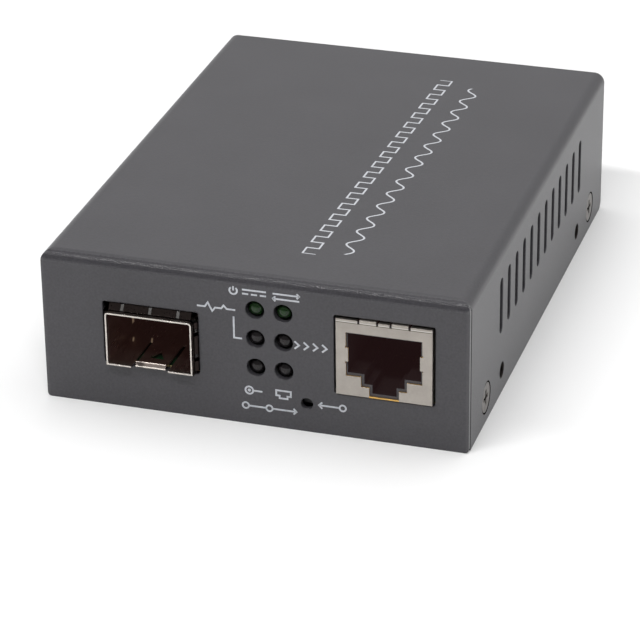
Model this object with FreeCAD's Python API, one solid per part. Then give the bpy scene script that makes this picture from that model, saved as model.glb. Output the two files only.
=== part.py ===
"""Fibre media converter: an optical module slot and a network socket in a small folded steel case.

Millimetres. +Z is up, the front panel faces -Y, and the origin is the middle of the base.
Each function makes one piece, and each piece is written to parts/ as a STEP file of its own.
"""
import FreeCAD, Part
import math
import os

V = FreeCAD.Vector

# ---- Case: a folded cover over a folded tray -------------------------------------------------
case_width = 70.0            # over the side walls
case_length = 94.0           # front panel's face to the cover's rear edge
case_height = 26.0
sheet = 1.0                  # cover and tray, with their paint
bend_inside = 0.8            # inner radius of every fold
fold_gap = 0.25              # between the tray and the cover that slides over it
seam_gap = 0.12              # between the front panel and the front edge of each side wall
seam_end = 1.4               # the seam stops this far below the roof, in the folds
rear_inset = 0.6             # rear panel, in from the cover's rear edge
wall_corner = 1.5            # rear lower corner of each side wall
panel_corner = 0.7           # lower corners of the front panel
rear_panel_corner = 0.6      # upper corners of the rear panel
flange_height = 8.5          # side flanges of the tray
flange_corner = 1.5
bend_relief = 0.8            # free width between a flange and the rear panel's fold
cut_corner = 0.4             # corners of the punched windows

# ---- Side pattern, the same on both sides ----------------------------------------------------
slot_count = 12
slot_pitch = 5.03
slot_width = 1.9
slot_length = 9.8
slot_height = 16.1           # middle of each slot above the base
slot_quarter_sides = 3       # sides that round each quarter of a slot's ends
small_sides = 12             # sides of the small rounds inside the case
head_sides = 24              # sides of the cover screws' heads and of the small holes in the front
cover_screw_spacing = 73.5
cover_screw_height = 4.3
bracket_hole_spacing = 53.4
bracket_hole_height = 4.1
bracket_hole_radius = 1.3    # in the cover
bracket_clear_radius = 1.9   # in the flange behind
collar_length = 1.2          # drawn collar round each threaded hole of the flanges
collar_wall = 0.45

# ---- Screws and standoffs --------------------------------------------------------------------
screw_radius = 1.45
thread_gap = 0.05            # between a screw and its thread
hole_gap = 0.15              # between a screw and a plain hole
cover_head_radius = 2.6
cover_head_sink = 0.05       # head below the face of the cover
cover_head_gap = 0.12        # dark ring round each head
cover_screw_length = 5.0
board_head_radius = 2.7
board_head_height = 1.9
board_screw_length = 5.0
recess_width = 0.7           # arms of the cross recess
recess_reach = 1.5
recess_depth = 0.9
standoff_height = 5.0
standoff_flat = 2.5          # half the hexagon across its flats
press_gap = 0.02             # round a pressed-in piece
standoff_edge_inset = 3.65   # the front standoffs, in from the board's sides
standoff_corner_inset = 5.15  # the rear left standoff, in from the board's side
standoff_rear_inset = 5.4    # the rear standoffs, in from the board's rear edge
standoff_cage_gap = 4.0      # middle of the left front standoff behind the module cage
standoff_socket_gap = 7.3    # middle of the right front standoff behind the network socket
standoff_jack_gap = 5.075    # middle of the rear right standoff beside the power jack

# ---- Circuit board ---------------------------------------------------------------------------
board_thickness = 1.6
board_side_gap = 1.6         # to the tray's flanges
board_front_gap = 0.7        # to the front panel
board_rear_gap = 0.5         # to the rear panel
board_corner = 1.0
lead_size = 0.5              # square wire of LED, socket and capacitor leads
lead_hole = 0.9              # side of the hole for each lead
lead_drop = 1.0              # leads below the board

# ---- Optical module cage ---------------------------------------------------------------------
cage_side_inset = 18.15      # middle of the cage, in from the case's left side
cage_width = 14.4
cage_height = 9.25
cage_length = 48.5
cage_sheet = 0.25
cage_bend = 0.3
cage_proud = 1.4             # in front of the panel
cage_lift = 0.3              # above the board
cage_side_gap = 0.8          # to its window in the panel
cage_top_gap = 1.35
cage_floor_open = 14.0       # length at the rear with no floor, for the host socket
cage_pin_width = 0.7
cage_pin_count = 3           # down each side
cage_pin_first = 4.0         # first pins behind the board's front edge
cage_pin_last = 2.0          # last pins before the cage's back
cage_vent_radius = 0.95
cage_vent_rows = 2
cage_vent_count = 3
cage_vent_pitch = 7.0
latch_width = 5.0            # springy tongue in the cage's floor
latch_length = 9.0
latch_slit = 0.6
latch_setback = 0.55         # tip of the tongue behind the cage's front rim
latch_ramp = 0.45            # length of the steep ramp at its tip
latch_crest = 0.55           # top of the ramp above the floor
latch_rise = 0.16            # the rest of the tongue above the floor
latch_hole_setback = 3.3     # straight side of the triangular catch, behind the rim
latch_hole_width = 2.66
latch_hole_length = 2.48
collar_band = 0.6            # solid front band of the spring collar
collar_sheet = 0.12
collar_setback = 0.35        # collar behind the cage's front rim
finger_slit = 0.6            # between neighbouring fingers
finger_corner_gap = 0.35     # between the end of a row of fingers and the cage's corner
top_slit_count, top_slit_pitch = 3, 4.65
side_slit_count, side_slit_pitch = 2, 4.43
finger_rise = 0.7            # from the band out to the finger's crest
finger_crest = 0.5
finger_fall = 2.45           # from the crest back to the cage
touch_gap = 0.06             # between a spring finger and what it bears on

# ---- Host socket inside the cage -------------------------------------------------------------
host_width = 12.0
host_depth = 6.5
host_height = 5.2
host_rear_gap = 0.45
host_slot_width = 9.2
host_slot_height = 2.2
host_slot_level = 3.2        # middle of the slot above the board
host_pairs = 10
host_pitch = 0.8
host_contact_width = 0.35
host_contact_thickness = 0.15

# ---- Network socket --------------------------------------------------------------------------
socket_side_inset = 13.55    # middle of the socket, in from the case's right side
socket_width = 15.5
socket_height = 13.15
socket_length = 21.0
socket_sheet = 0.25
socket_proud = 0.3           # in front of the panel
socket_lift = 0.1            # above the board
socket_side_gap = 0.42       # to its window in the panel
socket_top_gap = 0.4
plug_width = 12.3            # opening in the shield
plug_height = 7.55
plug_level = 3.4             # bottom of the opening above the shield's lower edge
latch_step_width = 7.4
latch_step_depth = 1.7
latch_key_width = 4.8
side_tab_height = 2.4
side_tab_level = 7.05        # middle of the side tabs above the shield's lower edge
side_tab_reach = 0.38
side_tab_notch = 0.25
side_tab_root = 0.12         # notch beyond the opening's edge
key_tie = 0.2                # strip of the shield below the key
liner = 0.25                 # black housing inside the shield's opening, beside and over the plug
key_liner = 0.45             # and round the steps for the plug's latch
socket_depth = 13.5          # depth of the plug's hollow
housing_gap = 0.03
wire_count = 8
wire_pitch = 1.02
wire_width = 0.4
wire_thickness = 0.25
wire_pocket = 0.7
wire_row_insets = (2.2, 4.7)             # the two rows of wires, from the shield's back
wire_setback = 3.0           # the wires' bend behind the shield's front
wire_curl, wire_curl_drop = 0.5, 0.8
wire_slope, wire_slope_drop = 7.5, 2.1
comb_clearance = 1.0         # comb behind the end of the plug's hollow
housing_wall = 1.2           # behind and in front of the wires' pocket
comb_row_overlap = 0.3       # pocket beyond the outermost wires
comb_top_gap = 0.5           # comb below the hollow's roof
comb_play = 0.05             # round each wire in its groove
shield_spring_width = 2.65
shield_spring_rise = 0.3
shield_spring_length = 5.0
shield_spring_spread = 5.15  # between the two springs on the roof
shield_slit = 0.36           # beside each spring
shield_slit_length = 3.0
shield_slit_depth = 0.5      # down the front

# ---- Indicator lamps -------------------------------------------------------------------------
lamp_x = 2.8                 # middle of the two columns
lamp_column_pitch = 4.6
lamp_first_height = 2.6      # lowest lamp above the board
lamp_top_room = 5.7          # from the highest lamp's middle up to the roof's face
lamp_radius = 1.45
lamp_hole_gap = 0.1
lamp_sides = 12
lamp_flange_radius = 1.75
lamp_flange = 0.9
lamp_length = 5.3
lamp_tip_inset = 0.15        # lamp's tip behind the panel's face
lamp_lead_spread = 2.54
lamp_lead_setback = 1.2      # first row's leads behind the lamps' backs
lamp_row_step = 2.54         # each row's leads drop this much further back
holder_width = 4.4
holder_front_gap = 0.15      # to the back of the front panel
holder_depth = 6.4
holder_top = 2.3             # above the highest lamp's middle
holder_fit = 0.05
holder_foot = 1.0            # height of the foot behind the holder

# ---- Test switch under the board -------------------------------------------------------------
button_x = 8.8
button_level = 1.05          # middle of the button below the board
button_hole_radius = 1.0
button_width = 1.7
button_height = 1.0
button_front_gap = 0.35      # to the back of the front panel
button_proud = 1.0           # in front of the switch
button_travel = 0.3
button_fit = 0.08
button_heel = 0.8            # wider heel that keeps it in the switch
button_heel_extra = 0.5
switch_width = 4.8
switch_depth = 3.4
switch_height = 2.1
switch_wall = 0.45
switch_cap = 0.2             # metal frame round the switch
dome_radius = 0.8
dome_rise = button_travel + 0.05         # clicks through a little more than the travel
dome_sheet = 0.08

# ---- Power jack ------------------------------------------------------------------------------
jack_side_inset = 12.55      # middle of the jack, in from the case's right side
jack_width = 8.75
jack_height = 10.4
jack_depth = 14.2
jack_face_inset = 0.05       # behind the rear panel's face
jack_window_gap = 0.15
jack_chamfer = 0.4
jack_bore_radius = 3.15
jack_bore_level = 5.85
jack_bore_depth = 9.5
jack_pin_radius = 1.0
jack_pin_inset = 2.6
jack_leaf_width = 4.2
jack_leaf_thickness = 0.3
jack_terminal_width = 2.4
jack_spring_setback = 6.0    # the sleeve contact's terminal, from the jack's back
jack_switch_setback = 3.0    # the switched contact's terminal, from the jack's back
jack_switch_inset = 1.15     # and from its side
jack_pocket_wall = 0.8       # between the switched contact's pocket and the jack's side
jack_pocket_start, jack_pocket_length, jack_pocket_width = 1.2, 7.4, 1.575
jack_spring_mouth = 1.6      # end of the sleeve contact behind the jack's face
jack_spring_root = 0.6
jack_spring_crest, jack_spring_crest_rise = 3.0, 0.75
jack_spring_lip, jack_spring_lip_rise, jack_spring_lip_drop = 1.2, 0.45, 0.5
jack_slot_play, jack_slot_rise = 0.5, 1.3    # room for the sleeve contact
jack_switch_half = 1.5       # half the height of the switched contact's blade
jack_switch_reach = 5.0      # its blade forward of the terminal's middle

# ---- Parts on the board ----------------------------------------------------------------------
chip_x, chip_inset = 2.0, 31.3          # insets are from the board's front edge
chip_side, chip_height = 9.0, 0.9
memory_x, memory_inset = -2.0, 48.3
memory_size = (4.9, 3.9, 1.45)
memory_lead_pitch = 1.27
isolator_shift, isolator_socket_gap = 0.45, 14.6   # from the socket's middle and rear
isolator_size = (15.0, 7.4, 5.6)
isolator_lead_pitch = 1.78
gull_reach = 1.1             # lead beyond the body
gull_thickness = 0.2
gull_width = 0.45
gull_root = 0.3              # lead inside the body
crystal_x, crystal_inset = 2.8, 20.3
crystal_size = (11.0, 4.6, 3.6)
regulator_x, regulator_rear_inset = 10.5, 24.9   # rear insets are from its rear edge
regulator_size = (6.5, 3.5, 1.6)
regulator_tab = 1.7
regulator_tab_width = 3.0
regulator_leg_pitch, regulator_leg_width = 2.3, 0.7
regulator_metal = 0.3        # thickness of the tab and the legs
regulator_root = 0.4         # their length inside the body
inductor_shift, inductor_rear_inset = 0.95, 27.9    # shift is from the jack's middle
inductor_size = (7.3, 7.3, 3.4)
input_capacitor_x, input_capacitor_rear_inset = 7.0, 13.9
input_capacitor_radius, input_capacitor_height = 4.0, 11.5
output_capacitor_x, output_capacitor_rear_inset = -6.0, 20.9
output_capacitor_radius, output_capacitor_height = 3.15, 11.0
capacitor_lead_spread = 2.5
passive_size = (1.6, 0.8, 0.5)
passive_pitch = 2.2

# ---- Places worked out from the sizes above --------------------------------------------------
half_width = case_width / 2
front_y = -case_length / 2
rear_y = case_length / 2
bend_outside = bend_inside + sheet
inner_half = half_width - sheet
panel_back_y = front_y + sheet
roof_under = case_height - sheet
wall_front_y = panel_back_y + seam_gap
wall_middle_y = (wall_front_y + rear_y) / 2
tray_half = inner_half - fold_gap
tray_inner_half = tray_half - sheet
tray_front_y = panel_back_y + fold_gap
rear_panel_y = rear_y - rear_inset
rear_panel_inner_y = rear_panel_y - sheet
flange_end_y = rear_panel_inner_y - bend_inside - bend_relief
rear_panel_top = roof_under - fold_gap
board_under = sheet + standoff_height
board_top = board_under + board_thickness
board_half = tray_inner_half - board_side_gap
board_front_y = panel_back_y + board_front_gap
board_rear_y = rear_panel_inner_y - board_rear_gap
cage_x = cage_side_inset - half_width
socket_x = half_width - socket_side_inset
jack_x = half_width - jack_side_inset
cage_front_y = front_y - cage_proud
cage_rear_y = cage_front_y + cage_length
cage_under = board_top + cage_lift
cage_top = cage_under + cage_height
host_rear_y = cage_rear_y - cage_sheet - host_rear_gap
host_front_y = host_rear_y - host_depth
socket_front_y = front_y - socket_proud
socket_rear_y = socket_front_y + socket_length
socket_under = board_top + socket_lift
socket_top = socket_under + socket_height
plug_bottom = socket_under + plug_level
plug_top = plug_bottom + plug_height
lamp_columns = [lamp_x - lamp_column_pitch / 2, lamp_x + lamp_column_pitch / 2]
lamp_lowest = board_top + lamp_first_height
lamp_row_pitch = (case_height - lamp_top_room - lamp_lowest) / 2
lamp_rows = [lamp_lowest + row * lamp_row_pitch for row in range(3)]
lamp_tip_y = front_y + lamp_tip_inset
lamp_back_y = lamp_tip_y + lamp_length
holder_front_y = panel_back_y + holder_front_gap
holder_rear_y = holder_front_y + holder_depth
button_z = board_under - button_level
button_front_y = panel_back_y + button_front_gap
switch_front_y = button_front_y + button_proud
switch_rear_y = switch_front_y + switch_depth
jack_face_y = rear_panel_y - jack_face_inset
jack_front_y = jack_face_y - jack_depth
jack_axis_z = board_top + jack_bore_level
standoff_places = [
    (-board_half + standoff_edge_inset, cage_rear_y + standoff_cage_gap),
    (board_half - standoff_edge_inset, socket_rear_y + standoff_socket_gap),
    (-board_half + standoff_corner_inset, board_rear_y - standoff_rear_inset),
    (jack_x - jack_width / 2 - standoff_jack_gap, board_rear_y - standoff_rear_inset),
]
chip_place = (chip_x, board_front_y + chip_inset)
memory_place = (memory_x, board_front_y + memory_inset)
crystal_place = (crystal_x, board_front_y + crystal_inset)
isolator_place = (socket_x - isolator_shift, socket_rear_y + isolator_socket_gap + isolator_size[1] / 2)
regulator_place = (regulator_x, board_rear_y - regulator_rear_inset)
inductor_place = (jack_x - inductor_shift, board_rear_y - inductor_rear_inset)
input_capacitor_place = (input_capacitor_x, board_rear_y - input_capacitor_rear_inset)
output_capacitor_place = (output_capacitor_x, board_rear_y - output_capacitor_rear_inset)

tiny = 1e-6
margin = 1.0                 # how far a cutter runs past what it cuts
PLANES = {
    "XZ": (V(1, 0, 0), V(0, 0, 1), V(0, 1, 0)),
    "YZ": (V(0, 1, 0), V(0, 0, 1), V(1, 0, 0)),
    "XY": (V(1, 0, 0), V(0, 1, 0), V(0, 0, 1)),
}


# ---- Shapes that every piece is made from ----------------------------------------------------
def box(x, y, z):
    """Block between two values along each axis."""
    low = V(min(x), min(y), min(z))
    return Part.makeBox(max(x) - low.x, max(y) - low.y, max(z) - low.z, low)


def rod(radius, start, end):
    """Round bar between two points."""
    along = end - start
    return Part.makeCylinder(radius, along.Length, start, along)


def bar(radius, start, end, sides=0):
    """Many-sided bar between two points, its corners on the radius: a light stand-in for a small round."""
    return stood(ringed([(radius, 0.0), (radius, (end - start).Length)], sides or small_sides),
                 start, end - start)


def ringed(profile, sides):
    """Many-sided solid about +Z through rings of (radius, height), closed flat at both ends."""
    rings = []
    for radius, z in profile:
        turns = [2 * math.pi * i / sides for i in range(sides)]
        rings.append([V(radius * math.cos(turn), radius * math.sin(turn), z) for turn in turns])
    loops = [rings[0][::-1], rings[-1]]
    for low, high in zip(rings, rings[1:]):
        for i in range(sides):
            j = (i + 1) % sides
            loops.append([low[i], low[j], high[j], high[i]])
    faces = [Part.Face(Part.makePolygon(loop + loop[:1])) for loop in loops]
    return Part.Solid(Part.Shell(faces))


def corner_arc(before, corner, after, radius, flats):
    """Points that round a corner: its arc's start, middle and end, or the ends of its flats."""
    if radius <= 0:
        return [corner]
    back = (before - corner).normalize()
    forth = (after - corner).normalize()
    half = back.getAngle(forth) / 2
    centre = corner + (back + forth).normalize() * (radius / math.sin(half))
    start = corner + back * (radius / math.tan(half))
    spoke = start - centre
    tangent = back * -radius
    sweep = math.pi - 2 * half
    steps = flats or 2
    turns = [sweep * i / steps for i in range(steps + 1)]
    return [centre + spoke * math.cos(turn) + tangent * math.sin(turn) for turn in turns]


def outline(points, radii, flats=0):
    """Closed wire through points, each corner with its own radius, rounded by an arc or by flats."""
    count = len(points)
    rounds = [corner_arc(points[i - 1], points[i], points[(i + 1) % count], radii[i], flats)
              for i in range(count)]
    edges = []
    for i in range(count):
        path = rounds[i]
        if len(path) == 3 and not flats:
            edges.append(Part.Arc(path[0], path[1], path[2]).toShape())
            path = path[-1:]
        path = path + [rounds[(i + 1) % count][0]]
        for start, end in zip(path, path[1:]):
            if start.distanceToPoint(end) > tiny:
                edges.append(Part.LineSegment(start, end).toShape())
    return Part.Wire(edges)


def prism(plane, corners, radii, low, high, flats=0):
    """Solid with a rounded outline in a plane, from low to high along the third axis."""
    across, up, along = PLANES[plane]
    points = [across * a + up * b + along * low for a, b in corners]
    if not isinstance(radii, list):
        radii = [radii] * len(corners)
    return Part.Face(outline(points, radii, flats)).extrude(along * (high - low))


def rectangle(middle, size):
    """Four corners of a rectangle, anticlockwise from its lower left."""
    a, b = middle
    da, db = size[0] / 2, size[1] / 2
    return [(a - da, b - db), (a + da, b - db), (a + da, b + db), (a - da, b + db)]


def offset_path(points, distance):
    """The path moved to its left by a distance, with mitred corners."""
    legs = [(points[i + 1] - points[i]).normalize() for i in range(len(points) - 1)]
    lefts = [V(-leg.y, leg.x, 0) for leg in legs]
    moved = [points[0] + lefts[0] * distance]
    for i in range(1, len(legs)):
        both = lefts[i - 1] + lefts[i]
        moved.append(points[i] + both * (2 * distance / both.Length ** 2))
    moved.append(points[-1] + lefts[-1] * distance)
    return moved


def strip(plane, path, inside, thickness, low, high, shift=0.0):
    """Bent sheet: a path thickened to its left, every fold with the same inner radius.

    shift moves the whole thickness to the left of the path. An inside radius of 0 folds sharp.
    """
    points = [V(a, b, 0) for a, b in path]
    near = offset_path(points, shift)
    far = offset_path(points, shift + thickness)
    near_radii = [0.0] * len(points)
    far_radii = [0.0] * len(points)
    for i in range(1, len(points) - 1):
        turn = (points[i] - points[i - 1]).cross(points[i + 1] - points[i]).z
        outer = inside + thickness if inside > 0 else 0.0
        near_radii[i] = outer if turn > 0 else inside
        far_radii[i] = inside if turn > 0 else outer
    corners = [(p.x, p.y) for p in near] + [(p.x, p.y) for p in reversed(far)]
    return prism(plane, corners, near_radii + far_radii[::-1], low, high)


def stood(shape, point, direction):
    """Copy of a shape made about +Z, turned to a direction and moved to a point."""
    turned = shape.copy()
    turned.Placement = FreeCAD.Placement(point, FreeCAD.Rotation(V(0, 0, 1), direction))
    return turned


def joined(shapes):
    """One solid from pieces that share faces, with the seams between flat faces removed."""
    return shapes[0].fuse(shapes[1:]).removeSplitter()


def evenly(count, pitch, middle=0.0):
    """Positions of a row of things about its middle."""
    return [middle + (i - (count - 1) / 2) * pitch for i in range(count)]


def side_places(spacing, height):
    """Side, y and z of a pair of holes in each side wall."""
    return [(side, wall_middle_y + end * spacing / 2, height) for side in (-1, 1) for end in (-1, 1)]


def cross_recess():
    """Cutter for a cross recess: two tapered arms, with its mouth at z = 0."""
    foot = recess_reach - recess_depth
    arm = prism("XZ", [(-foot, -recess_depth), (foot, -recess_depth),
                       (recess_reach, 0.1), (-recess_reach, 0.1)],
                0.0, -recess_width / 2, recess_width / 2)
    crossing = arm.copy().rotate(V(0, 0, 0), V(0, 0, 1), 90)
    return arm.fuse(crossing)


# ---- Case ------------------------------------------------------------------------------------
def front_window(middle_x, width, low, high):
    """Cutter for a punched window in the front panel."""
    middle = (middle_x, (low + high) / 2)
    return prism("XZ", rectangle(middle, (width, high - low)), cut_corner,
                 front_y - margin, panel_back_y + margin / 2)


def cover():
    """Folded cover: roof, front panel and both side walls of one sheet, open behind and below."""
    across = [(-half_width, 0), (-half_width, case_height), (half_width, case_height), (half_width, 0)]
    along = [(front_y, 0), (front_y, case_height), (rear_y, case_height), (rear_y, 0)]
    shell = prism("XZ", across, [0, bend_outside, bend_outside, 0], front_y, rear_y)
    shell = shell.common(prism("YZ", along, [0, bend_outside, 0, wall_corner], -half_width, half_width))
    across = [(-inner_half, -margin), (-inner_half, roof_under), (inner_half, roof_under),
              (inner_half, -margin)]
    along = [(panel_back_y, -margin), (panel_back_y, roof_under), (rear_y + margin, roof_under),
             (rear_y + margin, -margin)]
    hollow = prism("XZ", across, [0, bend_inside, bend_inside, 0], panel_back_y, rear_y + margin)
    hollow = hollow.common(prism("YZ", along, [0, bend_inside, 0, 0], -inner_half, inner_half))
    shell = shell.cut(hollow)

    cutters = []
    for side in (-1, 1):
        cutters.append(box((side * (inner_half - bend_inside), side * (half_width + margin)),
                           (panel_back_y, wall_front_y), (-margin, case_height - seam_end)))
    left, right = V(-half_width - margin, 0, 0), V(half_width + margin, 0, 0)
    for y in evenly(slot_count, slot_pitch, wall_middle_y):
        corners = rectangle((y, slot_height), (slot_width, slot_length))
        cutters.append(prism("YZ", corners, slot_width / 2, left.x, right.x, slot_quarter_sides))
    countersink = ringed([(screw_radius + cover_head_gap, -sheet), (cover_head_radius + cover_head_gap, 0)],
                         head_sides)
    for side, y, z in side_places(cover_screw_spacing, cover_screw_height):
        cutters.append(stood(countersink, V(side * half_width, y, z), V(side, 0, 0)))
    for y in evenly(2, bracket_hole_spacing, wall_middle_y):
        level = V(0, y, bracket_hole_height)
        cutters.append(rod(bracket_hole_radius, left + level, right + level))
    for x in lamp_columns:
        for z in lamp_rows:
            cutters.append(bar(lamp_radius + lamp_hole_gap, V(x, front_y - margin, z),
                               V(x, panel_back_y + margin, z), head_sides))
    cutters.append(bar(button_hole_radius, V(button_x, front_y - margin, button_z),
                       V(button_x, panel_back_y + margin, button_z), head_sides))
    cutters.append(front_window(cage_x, cage_width + 2 * cage_side_gap,
                                board_top, cage_top + cage_top_gap))
    cutters.append(front_window(socket_x, socket_width + 2 * socket_side_gap,
                                board_top - socket_lift, socket_top + socket_top_gap))
    shell = shell.cut(cutters)
    lower_corners = [edge for edge in shell.Edges
                     if edge.CenterOfMass.z < tiny
                     and abs(abs(edge.CenterOfMass.x) - half_width) < tiny
                     and edge.CenterOfMass.y < panel_back_y]
    return shell.makeFillet(panel_corner, lower_corners)


def base_tray():
    """Folded tray: floor, two side flanges with drawn threaded holes and plain ones, and the rear panel."""
    path = [(-tray_half, flange_height), (-tray_half, 0), (tray_half, 0), (tray_half, flange_height)]
    pan = strip("XZ", path, bend_inside, sheet, tray_front_y, flange_end_y)
    side_view = [(tray_front_y, -margin), (flange_end_y, -margin), (flange_end_y, flange_height),
                 (tray_front_y, flange_height)]
    pan = pan.common(prism("YZ", side_view, [0, 0, flange_corner, flange_corner],
                           -half_width, half_width))
    path = [(flange_end_y, 0), (rear_panel_y, 0), (rear_panel_y, rear_panel_top)]
    back = strip("YZ", path, bend_inside, sheet, -tray_half, tray_half)
    rear_view = [(-tray_half, -margin), (tray_half, -margin), (tray_half, rear_panel_top),
                 (-tray_half, rear_panel_top)]
    back = back.common(prism("XZ", rear_view, [0, 0, rear_panel_corner, rear_panel_corner],
                             flange_end_y, rear_y))
    collar_end = tray_inner_half - collar_length
    collars = []
    cutters = []
    thread = (screw_radius + thread_gap) / math.cos(math.pi / small_sides)
    for side, y, z in side_places(cover_screw_spacing, cover_screw_height):
        inner_end = V(side * collar_end, y, z)
        collars.append(bar(thread + collar_wall, inner_end, V(side * (tray_half - sheet / 2), y, z)))
        cutters.append(bar(thread, inner_end - V(side * margin, 0, 0), V(side * half_width, y, z)))
    for y in evenly(2, bracket_hole_spacing, wall_middle_y):
        level = V(0, y, bracket_hole_height)
        cutters.append(bar(bracket_clear_radius, level - V(half_width, 0, 0), level + V(half_width, 0, 0)))
    for side in (-1, 1):
        cutters.append(box((side * (tray_half - bend_outside), side * half_width),
                           (flange_end_y, rear_panel_y - bend_outside), (-margin, sheet + margin)))
    for x, y in standoff_places:
        cutters.append(hexagon(x, y, standoff_flat + press_gap, -margin, sheet + margin))
    middle = (jack_x, board_top + jack_height / 2)
    window = (jack_width + 2 * jack_window_gap, jack_height + 2 * jack_window_gap)
    cutters.append(prism("XZ", rectangle(middle, window), cut_corner,
                         rear_panel_inner_y - margin / 2, rear_y))
    return joined([pan, back] + collars).cut(cutters)


def hexagon(x, y, half_flat, low, high):
    """Upright six-sided bar about a point."""
    radius = half_flat / math.cos(math.pi / 6)
    corners = [(x + radius * math.cos(math.radians(60 * i)), y + radius * math.sin(math.radians(60 * i)))
               for i in range(6)]
    return prism("XY", corners, 0.0, low, high)


# ---- Fasteners -------------------------------------------------------------------------------
def cover_screws():
    """Four countersunk screws with a cross recess, through the side walls into the flanges."""
    slope = (cover_head_radius - screw_radius) / sheet
    face_radius = cover_head_radius - slope * cover_head_sink
    head = ringed([(screw_radius, -sheet), (face_radius, -cover_head_sink)], head_sides)
    shank = bar(screw_radius, V(0, 0, -cover_screw_length), V(0, 0, -sheet / 2))
    screw = head.fuse(shank).cut(cross_recess())
    return [stood(screw, V(side * half_width, y, z), V(side, 0, 0))
            for side, y, z in side_places(cover_screw_spacing, cover_screw_height)]


def board_standoffs():
    """Four six-sided threaded standoffs, each pressed through the floor."""
    bore = (screw_radius + thread_gap) / math.cos(math.pi / small_sides)
    made = []
    for x, y in standoff_places:
        post = hexagon(x, y, standoff_flat, 0, board_under)
        made.append(post.cut(bar(bore, V(x, y, sheet), V(x, y, board_under + margin))))
    return made


def board_screws():
    """Four pan-head screws with a cross recess that hold the board on its standoffs."""
    rim = board_head_radius * 0.8
    profile = [(screw_radius, -board_screw_length), (screw_radius, 0), (board_head_radius, 0),
               (board_head_radius, board_head_height * 0.45), (rim, board_head_height)]
    screw = ringed(profile, small_sides).cut(stood(cross_recess(), V(0, 0, board_head_height), V(0, 0, 1)))
    return [stood(screw, V(x, y, board_top), V(0, 0, 1)) for x, y in standoff_places]


# ---- Circuit board ---------------------------------------------------------------------------
def circuit_board():
    """Board on the standoffs, with a hole for every screw, pin and lead that goes through it."""
    middle_y = (board_front_y + board_rear_y) / 2
    corners = rectangle((0, middle_y), (2 * board_half, board_rear_y - board_front_y))
    board = prism("XY", corners, board_corner, board_under, board_top)
    around = screw_radius + 2 * hole_gap
    cutters = [bar(around, V(x, y, board_under - margin), V(x, y, board_top + margin))
               for x, y in standoff_places]
    leads = cage_pin_places() + lamp_lead_places() + wire_places()
    for x, y in (input_capacitor_place, output_capacitor_place):
        leads += [(lead_x, y) for lead_x in evenly(2, capacitor_lead_spread, x)]
    for place in leads:
        cutters.append(prism("XY", rectangle(place, (lead_hole, lead_hole)), 0.0,
                             board_under - margin, board_top + margin))
    for x, y, width, depth in jack_terminal_places():
        size = (width + 2 * hole_gap, depth + 2 * hole_gap)
        cutters.append(prism("XY", rectangle((x, y), size), 0.0, board_under - margin, board_top + margin))
    return board.cut(cutters)


# ---- Optical module cage ---------------------------------------------------------------------
def cage_pin_places():
    """Where the cage's press pins go through the board."""
    wall_x = cage_width / 2 - cage_sheet / 2
    first = board_front_y + cage_pin_first
    pitch = (cage_rear_y - cage_pin_last - first) / (cage_pin_count - 1)
    return [(cage_x + side * wall_x, first + i * pitch) for side in (-1, 1) for i in range(cage_pin_count)]


def sfp_cage_hood():
    """Roof, side walls and rear wall of the module cage, with vent holes and press pins."""
    left, right = cage_x - cage_width / 2, cage_x + cage_width / 2
    path = [(right, cage_under), (right, cage_top), (left, cage_top), (left, cage_under)]
    hood = strip("XZ", path, cage_bend, cage_sheet, cage_front_y, cage_rear_y)
    foot = board_top + host_height * 0.4
    rear = box((left + cage_sheet / 2, right - cage_sheet / 2),
               (cage_rear_y - cage_sheet, cage_rear_y), (foot, cage_top - cage_sheet / 2))
    pins = [box((x - cage_sheet / 2, x + cage_sheet / 2), (y - cage_pin_width / 2, y + cage_pin_width / 2),
                (board_under - lead_drop, cage_under + cage_sheet)) for x, y in cage_pin_places()]
    middle_y = (panel_back_y + cage_rear_y) / 2
    vents = [bar(cage_vent_radius, V(x, y, cage_top - cage_height / 2), V(x, y, cage_top + margin))
             for x in evenly(cage_vent_rows, cage_vent_pitch, cage_x)
             for y in evenly(cage_vent_count, cage_vent_pitch, middle_y)]
    return joined([hood, rear] + pins).cut(vents)


def sfp_cage_floor():
    """Floor of the module cage, with the springy latch tongue: a ramp at its tip and a triangular catch."""
    half = cage_width / 2 - cage_sheet - press_gap
    floor_end = cage_rear_y - cage_floor_open
    top = cage_under + cage_sheet
    floor = box((cage_x - half, cage_x + half), (cage_front_y, floor_end), (cage_under, top))
    room = latch_width / 2 + latch_slit
    root = cage_front_y + latch_length
    floor = floor.cut(box((cage_x - room, cage_x + room), (cage_front_y - margin, root),
                          (cage_under - margin, top + margin)))
    tip = cage_front_y + latch_setback
    path = [(tip, cage_under), (tip + latch_ramp, cage_under + latch_crest),
            (tip + 3 * latch_ramp, cage_under + latch_rise), (root - 3 * latch_ramp, cage_under + latch_rise),
            (root, cage_under), (root + margin, cage_under)]
    tongue = strip("YZ", path, 0.0, cage_sheet, cage_x - latch_width / 2, cage_x + latch_width / 2)
    catch_y = cage_front_y + latch_hole_setback
    catch = [(cage_x - latch_hole_width / 2, catch_y), (cage_x + latch_hole_width / 2, catch_y),
             (cage_x, catch_y + latch_hole_length)]
    tongue = tongue.cut(prism("XY", catch, 0.0, cage_under - margin, top + margin))
    return joined([floor, tongue])


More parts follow.
